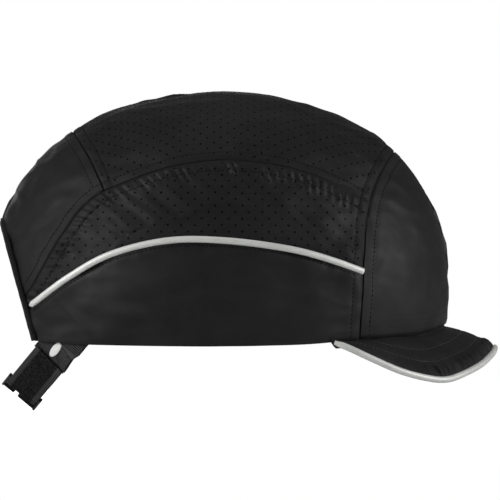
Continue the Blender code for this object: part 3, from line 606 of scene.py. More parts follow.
def punchHoles(bm, spots, radius, snap, room):
    # moves the nearest inner vertex to each place, makes room round it, and returns those vertices
    inner = [vert for vert in bm.verts if not vert.is_boundary]
    tree = treeOf([vert.co for vert in inner])
    taken = {}
    for spot in spots:
        _, index, distance = tree.find(spot)
        if distance < snap and index not in taken:
            taken[index] = spot
    for index, spot in taken.items():
        hole = inner[index]
        hole.co = spot
        for near in {vert for face in hole.link_faces for vert in face.verts} - {hole}:
            away = near.co - spot
            if away.length < room * radius and not near.is_boundary:
                near.co = spot + away.normalized() * room * radius
    return [inner[index] for index in taken]


def openHoles(bm, holes, radius):
    # cuts off each marked vertex, and rounds and widens the diamond that this leaves
    ring = bmesh.ops.bevel(bm, geom=holes, offset=radius * 0.1, offset_type="OFFSET", segments=1,
                           profile=0.5, affect="VERTICES", material=-1, clamp_overlap=True)
    for face in ring["faces"]:
        middle = face.calc_center_median()
        for edge in list(face.edges):
            bmesh.utils.edge_split(edge, edge.verts[0], 0.5)
        for vert in face.verts:
            vert.co = middle + (vert.co - middle).normalized() * radius
    bmesh.ops.delete(bm, geom=ring["faces"], context="FACES")


def fabricRuns(place, steps=40, lineCount=8):
    # the longest lengths of a panel along and across it, which is what it was cut from
    def run(spots):
        return sum((after - before).length for before, after in zip(spots, spots[1:]))
    shares = [step / steps for step in range(steps + 1)]
    lines = [step / lineCount for step in range(lineCount + 1)]
    return (max(run([place(share, line) for share in shares]) for line in lines),
            max(run([place(line, share) for share in shares]) for line in lines))


def clothPanel(name, columns, rows, place, material, nodes, holes=None,
               thickness=0.6 * mm, edge=None):
    cut = fabricRuns(place)
    bm = clothGrid(columns, rows, lambda along, across: (along * cut[0], across * cut[1]))
    for vert in bm.verts:
        vert.co = place(edgeRows(vert.co.x + 0.5, columns), edgeRows(vert.co.y + 0.5, rows))
    bmesh.ops.remove_doubles(bm, verts=bm.verts, dist=1e-6)
    faceOutward(bm)
    area = sum(face.calc_area() for face in bm.faces)
    punched = punchHoles(bm, holes["spots"], holes["radius"], holes["snap"],
                         holes["room"]) if holes else []
    bm.normal_update()
    for vert, normal in [(vert, vert.normal.copy()) for vert in bm.verts]:
        vert.co += normal * (clothHeight(vert.co) + (edge(vert.co) if edge else 0.0))
    if punched:
        openHoles(bm, punched, holes["radius"])
    piece = addPiece(name, bm, material, "cap", nodes, thickness, sharpRims=bool(holes))


# ---- the crown's panels

corner = {
    "frontSide": crossing("front", "side"), "rearSide": crossing("rear", "side"),
    "frontPiping": crossing("front", "piping"), "frontHem": crossing("front", "hem"),
    "openingSide": crossing("opening", "side"), "openingPiping": crossing("opening", "piping"),
    "openingHem": crossing("opening", "hem"),
}


def roundedPart(line, rearwards):
    # a seam's side-view points as (turn from the middle, level), until it meets the middle
    spots = []
    for spot in line:
        front, rear, _ = crownReaches(spot.y)
        share = -spot.x / rear if rearwards else spot.x / front
        if share >= 1:
            break
        spots.append(Vector((math.acos(share), spot.y)))
    start, end = spots[-2], spots[-1]
    spots.append(Vector((0, end.y + (end.y - start.y) * 0.25)))
    return spots


def archLine(half):
    # a half line from one side to the middle, mirrored to the other side
    return [Vector((-spot.x, spot.y)) for spot in half] + half[-2::-1]


frontPanel = {"columns": 150, "rows": 110, "shoulder": 0.368, "steps": 400}
half = roundedPart(between("front", corner["frontHem"], seams["front"]["line"][-1]), False)
arch = follow(archLine(half))
steps = frontPanel["steps"]
archSteps = [arch(step / steps) for step in range(steps + 1)]
cut = round(steps * frontPanel["shoulder"])
hemHalf = [Vector((math.acos(spot.x / crownReaches(spot.y)[0]), spot.y))
           for spot in between("hem", corner["frontHem"], Vector((117.4 * mm, 12.0 * mm)))
           if spot.x < crownReaches(spot.y)[0]]
hemHalf.append(Vector((0, hemHalf[-1].y + 0.05 * mm)))
placeFront = patch(archLine(hemHalf), archSteps[cut:steps - cut + 1],
                   archSteps[:cut + 1], archSteps[steps - cut:][::-1])


def frontPlace(along, across):
    spot = placeFront(along, across)
    return roundPoint(spot.x, spot.y)


def hemRoll(point):
    return -0.45 * mm * bell(aside("hem", point.x, point.z), 0.8 * mm)


clothPanel("frontPanel", frontPanel["columns"], frontPanel["rows"], frontPlace,
           "cloth", ["front_panel"], edge=hemRoll)
print("front panel")

rearPanel = {"columns": 220, "rows": 44}
sideHalf = roundedPart(between("side", corner["openingSide"], corner["rearSide"]), True)[:-1]
rearHalf = roundedPart(between("rear", corner["rearSide"], seams["rear"]["line"][0]), True)
openHalf = roundedPart(between("opening", corner["openingSide"], seams["opening"]["line"][-1]), True)
outer, inner = archLine(sideHalf + rearHalf), archLine(openHalf)
placeRear = patch(inner, outer, [inner[0], outer[0]], [inner[-1], outer[-1]])


def rearPlace(along, across):
    spot = placeRear(along, across)
    return roundPoint(math.pi - spot.x, spot.y)


def openingRoll(point):
    return -0.5 * mm * bell(aside("opening", point.x, point.z), 3.0 * mm)


clothPanel("rearPanel", rearPanel["columns"], rearPanel["rows"], rearPlace,
           "cloth", ["rear_panel"], edge=openingRoll)
print("rear panel")

perforation = {"alongPitch": 7.1 * mm, "rowPitch": 3.55 * mm, "radius": 0.55 * mm,
               "cloth": 0.35 * mm, "firstHole": {"right": 0.5, "left": 1.0, "top": 0.8},
               "snap": 1.2 * mm, "room": 1.35, "edge": 1.3 * mm}


def arcTable(place, start, end, steps=400):
    # lengths along a curve of the crown, to place the holes evenly on the cloth
    table, last, length = [], None, 0.0
    for step in range(steps + 1):
        value = start + (end - start) * step / steps
        spot = place(value)
        length += (spot - last).length if last else 0.0
        table.append((length, value))
        last = spot
    return table


def evenValues(table, pitch, start=0.5):
    values, goal = [], pitch * start
    for (length, value), (after, following) in zip(table, table[1:]):
        while length <= goal < after:
            values.append(value + (following - value) * (goal - length) / (after - length))
            goal += pitch
    return values


def insidePatch(forward, level, margin, area):
    # true well inside the perforated area, away from its edges
    aboveSide = aside("side", forward, level)
    behindFront = aside("front", forward, level)
    if behindFront < margin:
        return False
    if area == "top":
        return aboveSide > margin and aside("rear", forward, level) > margin
    return (aboveSide < -margin and aside("piping", forward, level) > 2.4 * mm
            and aside("opening", forward, level) < -4.5 * mm)


def staggered(columns, rows, place, area):
    spots = []
    for rowIndex, row in enumerate(rows):
        for columnIndex, column in enumerate(columns):
            if (rowIndex + columnIndex) % 2:
                continue
            spot = place(column, row)
            if insidePatch(spot.x, spot.z, perforation["edge"], area):
                spots.append(spot)
    return spots


def topPlanLine(line):
    # a side-view line as (forward, width) on the right hand side, up to the middle
    spots = []
    for spot in line:
        front, rear, _ = crownReaches(spot.y)
        if not -rear < spot.x < front:
            break
        spots.append(Vector((spot.x, -crownSide(spot.x, spot.y))))
    return spots


def acrossTop(line):
    half = topPlanLine(line)
    half.append(Vector((half[-1].x + (half[-1].x - half[-2].x) * 0.3, 0)))
    return half + [Vector((spot.x, -spot.y)) for spot in half[-2::-1]]


topPanel = {"columns": 200, "rows": 170}
rearEdge = acrossTop(between("rear", corner["rearSide"], seams["rear"]["line"][0]))
frontEdge = acrossTop(between("front", corner["frontSide"], seams["front"]["line"][-1]))
rightEdge = topPlanLine(between("side", corner["rearSide"], corner["frontSide"]))
leftEdge = [Vector((spot.x, -spot.y)) for spot in rightEdge]
placeTop = patch(rightEdge, leftEdge, rearEdge, frontEdge)


def topPlace(along, across):
    spot = placeTop(along, across)
    if across in (0.0, 1.0):
        low = follow(between("side", corner["rearSide"], corner["frontSide"]))(along)
        return sidePoint(low.x, low.y, -1 if across == 0 else 1)
    return planPoint(spot.x, spot.y)


columns = evenValues(arcTable(lambda x: planPoint(x, 0), -112 * mm, 112 * mm),
                     perforation["alongPitch"] / 2)
rows = evenValues(arcTable(lambda y: planPoint(0, y), -80 * mm, 80 * mm), perforation["rowPitch"],
                  perforation["firstHole"]["top"])
topSpots = staggered(columns, rows, planPoint, "top")
clothPanel("topPanel", topPanel["columns"], topPanel["rows"], topPlace,
           "meshCloth", ["top_panel"], thickness=perforation["cloth"],
           holes={**perforation, "spots": topSpots})
print("top panel with", len(topSpots), "holes")

sideMesh = {"columns": 210, "rows": 54}
sideLower = {"columns": 180, "rows": 50}
meshFlat = patch(between("piping", corner["openingPiping"], corner["frontPiping"]),
                 between("side", corner["openingSide"], corner["frontSide"]),
                 between("opening", corner["openingPiping"], corner["openingSide"]),
                 between("front", corner["frontPiping"], corner["frontSide"]))
lowerFlat = patch(between("hem", corner["openingHem"], corner["frontHem"]),
                  between("piping", corner["openingPiping"], corner["frontPiping"]),
                  between("opening", corner["openingHem"], corner["openingPiping"]),
                  between("front", corner["frontHem"], corner["frontPiping"]))
for handName, hand in sides.items():
    # the two sides are staggered, so that no line of sight goes through both
    first = perforation["firstHole"][handName]
    columns = evenValues(arcTable(lambda x: sidePoint(x, 60 * mm, hand), -112 * mm, 90 * mm),
                         perforation["alongPitch"] / 2, first)
    rows = evenValues(arcTable(lambda z: sidePoint(0, z, hand), 5 * mm, 105 * mm),
                      perforation["rowPitch"], first)
    spots = staggered(columns, rows, lambda x, z: sidePoint(x, z, hand), "side")
    clothPanel(f"sideMesh{handName.title()}", sideMesh["columns"], sideMesh["rows"],
               lambda along, across: sidePoint(*meshFlat(along, across), hand),
               "meshCloth", [f"side_mesh_{handName}"],
               thickness=perforation["cloth"], holes={**perforation, "spots": spots})
    clothPanel(f"sideLower{handName.title()}", sideLower["columns"], sideLower["rows"],
               lambda along, across: sidePoint(*lowerFlat(along, across), hand),
               "cloth", [f"side_lower_{handName}"], edge=hemRoll)
print("side panels")


# ---- stitches, piping and binding

def outward(point):
    # the direction straight out of the crown at a place on it
    def fullness(spot):
        front, rear, side = crownReaches(spot.z)
        share = spot.x / (front if spot.x > 0 else rear)
        return share ** 2 + (spot.y / (side * (1 - crown["egg"] * share))) ** 2
    step = 0.05 * mm
    slope = [fullness(point + axis * step) - fullness(point - axis * step)
             for axis in (Vector((1, 0, 0)), Vector((0, 1, 0)), Vector((0, 0, 1)))]
    return Vector(slope).normalized()


def crownRow(name, shift, hand, keep):
    # a line on the crown beside a seam, from its low or rear end, where keep(forward, level) is true
    line = seams[name]["line"]
    spots = []
    for index, spot in enumerate(line):
        along = heading(line, index)
        flat = spot + Vector((-along.y, along.x)) * shift
        front, rear, _ = crownReaches(flat.y)
        if not -rear < flat.x < front:
            if spots:
                spots.append(Vector((spots[-1].x, 0, spots[-1].z)))
                break
            continue
        if keep(*flat):
            spots.append(sidePoint(*flat, hand))
        elif spots:
            break
    return spots


def addStitches(bm, row, stitch, height=clothHeight, direction=outward):
    threads = bmesh.new()
    knots = evenLine(row, stitch["pitch"])
    for start, end in zip(knots, knots[1:]):
        middle = (start + end) / 2
        up = direction(middle)
        along = (end - start).normalized()
        across = up.cross(along).normalized()
        turn = Matrix((along, across, up)).transposed().to_4x4()
        place = Matrix.Translation(middle + up * (height(middle) + stitch["lift"])) @ turn
        place = place @ Matrix.Diagonal((stitch["length"] / 2, stitch["width"] / 2,
                                         stitch["width"] * 0.42, 1))
        place = place @ Matrix.Rotation(math.radians(90), 4, "Y")
        bmesh.ops.create_uvsphere(threads, u_segments=6, v_segments=4, radius=1.0, matrix=place)
    joinInto(bm, threads)


crownStitch = {"pitch": 2.3 * mm, "length": 1.75 * mm, "width": 0.75 * mm, "lift": 0.02 * mm}


def behindFrontRow(forward, level):
    return aside("front", forward, level) > relief["frontStitches"][0] - 0.6 * mm


def aheadOfOpening(forward, level, room=4.5 * mm):
    return aside("opening", forward, level) < -room


def aboveHem(forward, level):
    return aside("hem", forward, level) > 0.8 * mm


def aboveSideRow(forward, level):
    return aside("side", forward, level) > relief["sideStitches"][0]


bm = bmesh.new()
for hand in sides.values():
    for shift in relief["frontStitches"]:
        addStitches(bm, crownRow("front", shift, hand, aboveHem), crownStitch)
    for shift in relief["rearStitches"]:
        row = crownRow("rear", shift, hand, lambda x, z: True)
        row = [spot for spot in row if aboveSideRow(spot.x, spot.z)]
        addStitches(bm, row, crownStitch)
    for shift in relief["sideStitches"]:
        row = crownRow("side", shift, hand,
                       lambda x, z: aheadOfOpening(x, z) and behindFrontRow(x, z))
        addStitches(bm, row, crownStitch)
    row = crownRow("piping", relief["pipingStitch"], hand,
                   lambda x, z: aheadOfOpening(x, z) and behindFrontRow(x, z))
    addStitches(bm, row, crownStitch)
addPiece("crownStitching", bm, "thread", "cap")
print("crown stitching")


def tube(frames, around=16, roundness=2.0):
    # a closed tube through (centre, across, up) frames; across and up are its half sizes
    last = len(frames) - 1
    lengths = [0.0]
    for (a, _, _), (b, _, _) in zip(frames, frames[1:]):
        lengths.append(lengths[-1] + (b - a).length)
    girth = 4 * (frames[len(frames) // 2][1].length + frames[len(frames) // 2][2].length)
    bm = clothGrid(last, around, lambda along, turn: (lengths[round(along * last)], turn * girth))
    for vert in bm.verts:
        centre, across, up = frames[round((vert.co.x + 0.5) * last)]
        turn = math.tau * (vert.co.y + 0.5)
        c, s = math.cos(turn), math.sin(turn)
        power = 2 / roundness
        vert.co = (centre + across * math.copysign(abs(c) ** power, c)
                   + up * math.copysign(abs(s) ** power, s))
    bmesh.ops.remove_doubles(bm, verts=bm.verts, dist=1e-7)
    openEdges = [edge for edge in bm.edges if edge.is_boundary]
    bmesh.ops.holes_fill(bm, edges=openEdges, sides=around + 2)
    bmesh.ops.recalc_face_normals(bm, faces=bm.faces)
    return bm


def crownFrames(row, halfWidth, halfHeight, lift, endRound=0):
    # frames for a tube laid along a line on the crown
    frames = []
    for index, spot in enumerate(row):
        along = heading(row, index)
        up = outward(spot)
        across = along.cross(up).normalized()
        up = across.cross(along)
        size = 1.0
        if index < endRound:
            size = math.sqrt(max(0.02, 1 - (1 - index / endRound) ** 2))
        frames.append((spot + up * lift, across * halfWidth * size,
                       up * halfHeight * (0.4 + 0.6 * size)))
    return frames


sidePiping = {"halfWidth": 1.8 * mm, "halfHeight": 1.25 * mm, "lift": 0.1 * mm, "step": 0.8 * mm}
for handName, hand in sides.items():
    row = crownRow("piping", 0, hand, lambda x, z: (
        aheadOfOpening(x, z, 3.8 * mm) and aside("front", x, z) > 0.0))
    row = evenLine(row, sidePiping["step"])
    bm = tube(crownFrames(row, sidePiping["halfWidth"], sidePiping["halfHeight"],
                          sidePiping["lift"], endRound=3))
    addPiece(f"sidePiping{handName.title()}", bm, "silver", "cap",
             [f"side_piping_{handName}"])


def bothSides(row):
    return row + [Vector((spot.x, -spot.y, spot.z)) for spot in row[-2::-1]]


binding = {"halfWidth": 1.9 * mm, "halfHeight": 1.15 * mm, "step": 1.0 * mm, "in": 1.7 * mm,
           "sink": 0.35 * mm, "rough": 0.18 * mm, "stitchIn": 1.0 * mm, "stitchLift": 0.02 * mm}
openRight = [roundPoint(math.pi - spot.x, spot.y) for spot in roundedPart(
    between("opening", corner["openingHem"], seams["opening"]["line"][-1]), True)]
openRight = [Vector((spot.x, -abs(spot.y), spot.z)) for spot in openRight]
openArch = evenLine(bothSides(openRight), binding["step"])
frames = crownFrames(openArch, binding["halfWidth"], binding["halfHeight"], 0.0)
outwards = 1 if frames[3][1].dot(Vector((1, 0, 0))) > 0 else -1
frames = [(centre + across.normalized() * outwards * binding["in"]
           - up.normalized() * binding["sink"], across, up) for centre, across, up in frames]
bm = tube(frames, around=20, roundness=2.8)
for vert in bm.verts:
    vert.co += vert.normal * binding["rough"] * noise.noise(vert.co * 260)
addPiece("rearOpeningBinding", bm, "binding", "cap", ["rear_opening_binding"])
bm = bmesh.new()
row = [centre + across.normalized() * outwards * binding["stitchIn"]
       for centre, across, up in frames]
addStitches(bm, row, {**crownStitch, "lift": binding["halfHeight"] + binding["stitchLift"]},
            height=lambda spot: 0.0)
addPiece("bindingStitching", bm, "thread", "cap")
print("piping and binding")


# ---- brim

brim = {
    "stations": [(142.2, 0, -1.4, 0), (140.6, 13, -4.6, 9), (134.4, 30, -10.2, 18),
                 (124.6, 46.5, -15.2, 27), (116.4, 56.5, -17.8, 33.5), (107, 64, -17.2, 39.5),
                 (92.4, 72.4, -13.4, 46.5), (76.6, 77.6, -6.6, 54), (65, 79.4, -1.2, 59),
                 (57.5, 78.6, 1.6, 62.5)],
    "belowHem": 1.9 * mm, "rootOut": -1.3 * mm, "board": 1.6 * mm, "bulge": 1.2 * mm,
    "pipingRadius": 1.65 * mm, "coverLift": 1.75 * mm, "columns": 480, "rows": 34,
    "stitchRows": (9.5 * mm, 18.5 * mm), "gatherBand": 5.0 * mm, "gatherHeight": 1.2 * mm,
    "endTaper": (0.9, 0.985), "endSteps": 5, "endRise": 1.8, "endSink": {"top": 0.85, "under": 1.1},
    "flange": (-1.7 * mm, -3.0 * mm), "flangeRows": 3, "shortOfEdge": 0.9 * mm,
    "edgeThin": 0.75, "clothCut": (0.2, 0.034), "endPiping": 0.7, "pipingStep": 1.0 * mm,
}
brimHalf = smoothLine([(brim["stations"][1][0], -brim["stations"][1][1], brim["stations"][1][2],
                        -brim["stations"][1][3]), *brim["stations"]], 16)[16:]
hemLine = seams["hem"]["line"]


def hemLevel(forward):
    index = max(0, min(len(hemLine) - 2, round((forward - hemLine[0].x) / 0.4 / mm)))
    while index > 0 and hemLine[index].x > forward:
        index -= 1
    while index < len(hemLine) - 2 and hemLine[index + 1].x < forward:
        index += 1
    share = (forward - hemLine[index].x) / (hemLine[index + 1].x - hemLine[index].x)
    return hemLine[index].y + (hemLine[index + 1].y - hemLine[index].y) * share


def brimRoot(turn, out, below):
    front, _, side = crownReaches(0.0, -out)
    forward = front * math.cos(turn)
    width = side * math.sin(turn) * (1 - crown["egg"] * math.cos(turn))
    return Vector((forward, width, hemLevel(min(forward, 117.9 * mm)) - below))


def brimRib(along):
    place = abs(along * 2 - 1) * (len(brimHalf) - 1)
    index = min(int(place), len(brimHalf) - 2)
    station = brimHalf[index].lerp(brimHalf[index + 1], place - index)
    side = 1 if along > 0.5 else -1
    edge = Vector((station[0], side * station[1], station[2])) * mm
    return math.radians(side * station[3]), edge


def brimPlace(along, across, lift):
    # across is below 0 on the flange behind the front panel, and 1 at the edge piping
    turn, edge = brimRib(along)
    end = ramp(abs(along * 2 - 1), *brim["endTaper"])
    root = brimRoot(turn, brim["rootOut"], brim["belowHem"] * (1 - brim["endRise"] * end))
    lift *= 1 - brim["endSink"]["top" if lift > 0 else "under"] * end
    if across < 0:
        return root.lerp(brimRoot(turn, *brim["flange"]), -across) + Vector((0, 0, lift))
    stop = edge - (edge - root).normalized() * brim["shortOfEdge"]
    taper = 1 - ramp(across, 0.86, 1.0) * brim["edgeThin"]
    spot = root.lerp(stop, across) + Vector((0, 0, brim["bulge"] * math.sin(math.pi * across)))
    return spot + Vector((0, 0, lift * taper))


def brimUp(along, across, lift):
    step = 0.004
    sideways = (brimPlace(min(along + step, 1), across, lift)
                - brimPlace(max(along - step, 0), across, lift))
    outwards = brimPlace(along, across + step, lift) - brimPlace(along, across - step, lift)
    return outwards.cross(sideways).normalized()


def brimWidth(along):
    turn, edge = brimRib(along)
    return (edge - brimRoot(turn, brim["rootOut"], brim["belowHem"])).length


def brimRelief(along, across, top):
    # how far the cover stands out from the brim's form: stitch rows, gathers and slow waves
    width = brimWidth(along)
    fromEdge = width * (1 - across)
    height = 0.0
    middle = abs(along - 0.5) * 2
    for row in brim["stitchRows"]:
        if row < width - 3 * mm:
            height -= 0.25 * mm * bell(fromEdge - row, 0.7 * mm)
    fade = 1 - ramp(middle, 0.42, 0.8)
    height -= 0.12 * mm * bell(across * width, 0.9 * mm)
    gather = noise.noise(Vector((along * 160, fromEdge * 50, 2.0)))
    gather += 0.4 * noise.noise(Vector((along * 300, fromEdge * 70, 7.0)))
    band = ramp(fromEdge, 0.0, 1.2 * mm) * (1 - ramp(fromEdge, brim["gatherBand"],
                                                     brim["gatherBand"] + 3 * mm))
    height += brim["gatherHeight"] * (gather + 0.45) * band * fade
    height += 0.2 * mm * noise.noise(Vector((along * 9, across * 2.2, 11.0 if top else 17.0)))
    return height


def brimCover(name, lift, material, nodes, top):
    long, deep = brim["clothCut"]
    bm = clothGrid(brim["columns"], brim["rows"], lambda along, row: (along * long, row * deep))
    flange = brim["flangeRows"] / brim["rows"]
    for vert in bm.verts:
        along, row = vert.co.x + 0.5, vert.co.y + 0.5
        across = (row - flange) / (1 - flange) if row > flange - 1e-6 else (row - flange) / flange
        vert.co = brimPlace(along, across, lift)
        if across > 0:
            out = brimUp(along, across, lift) * (1 if top else -1)
            vert.co += out * brimRelief(along, across, top)
    bmesh.ops.recalc_face_normals(bm, faces=bm.faces)
    bm.faces.ensure_lookup_table()
    middle = bm.faces[len(bm.faces) // 2]
    if (middle.normal.z > 0) != top:
        bmesh.ops.reverse_faces(bm, faces=bm.faces)
    return addPiece(name, bm, material, "cap", nodes, 0.6 * mm)


brimCover("brimTopCover", brim["coverLift"], "brimCloth", ["brim_top_cover"], True)
brimCover("brimUnderCover", -brim["coverLift"], "brimCloth", ["brim_under_cover"], False)
edgeLine = evenLine([brimRib(step / 240)[1] for step in range(241)], brim["pipingStep"])
frames = []
for index, spot in enumerate(edgeLine):
    along = heading(edgeLine, index)
    across = along.cross(Vector((0, 0, 1))).normalized()
    up = across.cross(along)
    nearEnd = min(index, len(edgeLine) - 1 - index) / brim["endSteps"]
    size = brim["pipingRadius"] * (brim["endPiping"]
                                   + (1 - brim["endPiping"]) * ramp(nearEnd, 0.0, 1.0))
    frames.append((spot, across * size, up * size * 1.05))
bm = tube(frames, around=18)
addPiece("brimPiping", bm, "silver", "cap", ["brim_piping"])

brimStitch = {"pitch": 2.3 * mm, "length": 1.05 * mm, "width": 0.42 * mm, "lift": 0.08 * mm,
              "steps": 400, "endRoom": 2.5 * mm}
bm = bmesh.new()
for distance in brim["stitchRows"]:
    spots, ups = [], []
    for step in range(brimStitch["steps"] + 1):
        along = step / brimStitch["steps"]
        if brimWidth(along) < distance + brimStitch["endRoom"]:
            continue
        across = 1 - distance / brimWidth(along)
        up = brimUp(along, across, brim["coverLift"])
        spots.append(brimPlace(along, across, brim["coverLift"])
                     + up * brimRelief(along, across, True))
        ups.append(up)
    tree = treeOf(spots)
    addStitches(bm, spots, brimStitch, height=lambda spot: 0.0,
                direction=lambda spot: ups[tree.find(spot)[1]])
addPiece("brimStitching", bm, "greyThread", "cap")
print("brim")


# ---- rear strap

strap = {
    "foot": Vector((-85.5, 0.8)) * mm, "pitch": math.radians(50), "drop": 30.4 * mm,
    "inset": 2.2 * mm, "elasticWidth": 21 * mm, "tapeWidth": 19 * mm, "thickness": 1.2 * mm,
    "gap": 0.3 * mm, "barRadius": 1.1 * mm, "elasticUp": 16 * mm, "elasticDown": 14.4 * mm,
    "tailDrop": 9.0 * mm, "twist": 22 * mm, "nearBar": -13.0, "middleBar": -4.0, "gateBar": 4.5,
    "ribHeight": 0.16 * mm, "fuzz": 0.4 * mm, "peelBend": 4.5,
    "elasticStep": 0.28 * mm, "elasticRows": 44, "tapeRidge": {"smooth": 0.05 * mm, "edge": 0.04 * mm},
}
strapDown = Vector((-math.cos(strap["pitch"]), 0, -math.sin(strap["pitch"])))
strapWide = Vector((math.sin(strap["pitch"]), 0, -math.cos(strap["pitch"])))
halfChord = crownSide(*strap["foot"], strap["inset"])
bandRadius = (halfChord ** 2 + strap["drop"] ** 2) / (2 * strap["drop"])
bandEnd = math.degrees(math.asin(halfChord / bandRadius))
bandCentre = Vector((strap["foot"].x, 0, strap["foot"].y)) - strapDown * (bandRadius - strap["drop"])


def degreesOf(length):
    return math.degrees(length / bandRadius)


def bandPoint(degrees, out=0.0):
    turn = math.radians(degrees)
    return bandCentre + (strapDown * math.cos(turn)
                         + Vector((0, 1, 0)) * math.sin(turn)) * (bandRadius + out)


def bandAcross(degrees):
    # the band lies against the crown at the hem and turns flat towards the back
    twistEnd = bandEnd - degreesOf(strap["twist"])
    side = 1 if degrees > 0 else -1
    share = ramp(abs(degrees), twistEnd, bandEnd)
    slope = (crownSide(strap["foot"].x + mm, strap["foot"].y)
             - crownSide(strap["foot"].x - mm, strap["foot"].y))
    out = Vector((-slope, side * 2 * mm, 0)).normalized()
    turn = math.radians(bandEnd) * side
    along = strapDown * -math.sin(turn) + Vector((0, 1, 0)) * math.cos(turn)
    atHem = out.cross(along).normalized()
    if atHem.dot(strapWide) < 0:
        atHem.negate()
    return strapWide.lerp(atHem, share).normalized()


def tape(name, path, width, material, nodes, body, step=0.45 * mm, ridge=None):
    # a strip of webbing along (degrees, distance outside the band), with a ridge pattern
    # the path mixes degrees and metres, so it is evened in real lengths
    fine = []
    for a, b in zip(path, path[1:]):
        fine += [Vector(a).lerp(Vector(b), share / 12) for share in range(12)]
    fine.append(Vector(path[-1]))
    lengths = [0.0]
    for a, b in zip(fine, fine[1:]):
        lengths.append(lengths[-1] + (bandPoint(*b) - bandPoint(*a)).length)
    columns = max(8, round(lengths[-1] / step))
    rows = max(6, round(width / step))
    bm = clothGrid(columns, rows, lambda run, wide: (run * lengths[-1], (wide - 0.5) * width))
    spots = []
    index = 0
    for column in range(columns + 1):
        goal = lengths[-1] * column / columns
        while index < len(fine) - 2 and lengths[index + 1] < goal:
            index += 1
        share = (goal - lengths[index]) / max(lengths[index + 1] - lengths[index], 1e-9)
        spots.append((fine[index].lerp(fine[index + 1], share), goal))
    places = [bandPoint(*spot) for spot, _ in spots]
    for vert in bm.verts:
        column = round((vert.co.x + 0.5) * columns)
        (degrees, _), run = spots[column]
        across = bandAcross(degrees)
        up = heading(places, column).cross(across).normalized()
        wide = vert.co.y * width
        vert.co = places[column] + across * wide
        if ridge:
            vert.co += up * ridge(run, wide)
    bmesh.ops.recalc_face_normals(bm, faces=bm.faces)
    return addPiece(name, bm, material, body, nodes, strap["thickness"], offset=0.0)


def foldPath(bar, direction, steps=16):
    reach = strap["barRadius"] + strap["gap"] + strap["thickness"] / 2
    path = []
    for index in range(steps + 1):
        turn = math.pi * index / steps
        out = reach - reach * math.cos(turn)
        path.append((bar + direction * math.degrees(reach * math.sin(turn) / (bandRadius + out)), out))
    return path


def landing(start, span, top, level, steps=6):
    return [(start + span * step / steps, top + (level - top) * ramp(step, 0, steps))
            for step in range(steps)]


topOfFold = 2 * (strap["barRadius"] + strap["gap"] + strap["thickness"] / 2)
stacked = strap["thickness"] + 2 * strap["gap"]
tailEnd = math.degrees(math.acos(math.cos(math.radians(bandEnd)) + strap["tailDrop"] / bandRadius))
elasticEnd = bandEnd - degreesOf(strap["elasticDown"])
hair = degreesOf(strap["gap"])


def elasticPoint(run, wide, hand):
    # run is the length below the hem; above it the elastic lies inside the crown
    if run < 0:
        flat = (strap["foot"] - Vector((strapDown.x, strapDown.z)) * -run
                + Vector((strapWide.x, strapWide.z)) * wide)
        return sidePoint(*flat, hand, strap["inset"])
    degrees = hand * (bandEnd - degreesOf(run))
    return bandPoint(degrees) + bandAcross(degrees) * wide


# a dense white bar tack over each elastic
tack = {"at": 5.2 * mm, "halfLength": 5.9 * mm, "halfWidth": 2.3 * mm, "height": 0.55 * mm,
        "off": -0.7 * mm, "clear": 0.1 * mm, "ridge": 0.09 * mm, "pitch": 0.75 * mm}
for handName, hand in sides.items():
    length = strap["elasticUp"] + strap["elasticDown"]
    firstRun = webbing["ribPitch"] / 2 - strap["elasticUp"]
    bm = clothGrid(round(length / strap["elasticStep"]), strap["elasticRows"],
                   lambda run, wide: (run * length + firstRun, (wide - 0.5) * strap["elasticWidth"]))
    for vert in bm.verts:
        run = (vert.co.x + 0.5) * length - strap["elasticUp"]
        wide = vert.co.y * strap["elasticWidth"]
        drift = 0.35 * mm * noise.noise(Vector((wide * 300, run * 200, hand)))
        wave = math.cos(math.tau * (run + drift) / webbing["ribPitch"])
        spot = elasticPoint(run, wide, hand)
        along = elasticPoint(run + 0.3 * mm, wide, hand) - spot
        across = elasticPoint(run, wide + 0.3 * mm, hand) - spot
        up = along.cross(across).normalized() * -hand
        vert.co = spot + up * strap["ribHeight"] * wave * (0.6 + 0.4 * noise.noise(vert.co * 30))
    bmesh.ops.recalc_face_normals(bm, faces=bm.faces)
    elastic = addPiece(f"elastic{handName.title()}", bm, "elastic", None,
                       [f"elastic_{handName}", f"strap_anchor_{handName}"], strap["thickness"],
                       offset=0.0)
    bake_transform(elastic)
    bm = bmesh.new()
    bmesh.ops.create_uvsphere(bm, u_segments=72, v_segments=40, radius=1.0)
    for vert in bm.verts:
        x, y, z = vert.co
        run = tack["at"] + x * tack["halfLength"]
        wide = tack["off"] + y * tack["halfWidth"]
        spot = elasticPoint(max(run, 0.0), wide, hand)
        degrees = hand * (bandEnd - degreesOf(max(run, 0.0)))
        up = (bandPoint(degrees, 1.0) - bandPoint(degrees)).normalized()
        dome = math.copysign(abs(z) ** 0.5, z) * tack["height"]
        thread = tack["ridge"] * math.cos(math.tau * (run + 0.5 * wide) / tack["pitch"])
        lift = strap["thickness"] / 2 + tack["clear"] + dome
        vert.co = spot + up * (lift + (thread if z > 0 else 0))
    bmesh.ops.recalc_face_normals(bm, faces=bm.faces)
    bartack = addPiece(f"bartack{handName.title()}", bm, "bartack", None,
                       [f"bartack_{handName}"])
    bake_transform(bartack)


def smoothTape(_, wide):
    return strap["tapeRidge"]["smooth"] * math.cos(math.tau * wide / webbing["edgePitch"])


def loopTape(run, wide):
    edge = ramp(abs(wide), webbing["loopHalf"] - 0.6 * mm, webbing["loopHalf"] + 0.2 * mm)
    spot = Vector((run * 900, wide * 900, 3.0))
    loops = noise.noise(spot) + 0.6 * noise.noise(spot * 2.1)
    cords = strap["tapeRidge"]["edge"] * math.cos(math.tau * wide / webbing["edgePitch"])
    return strap["fuzz"] * (loops + 0.7) * (1 - edge) + cords * edge


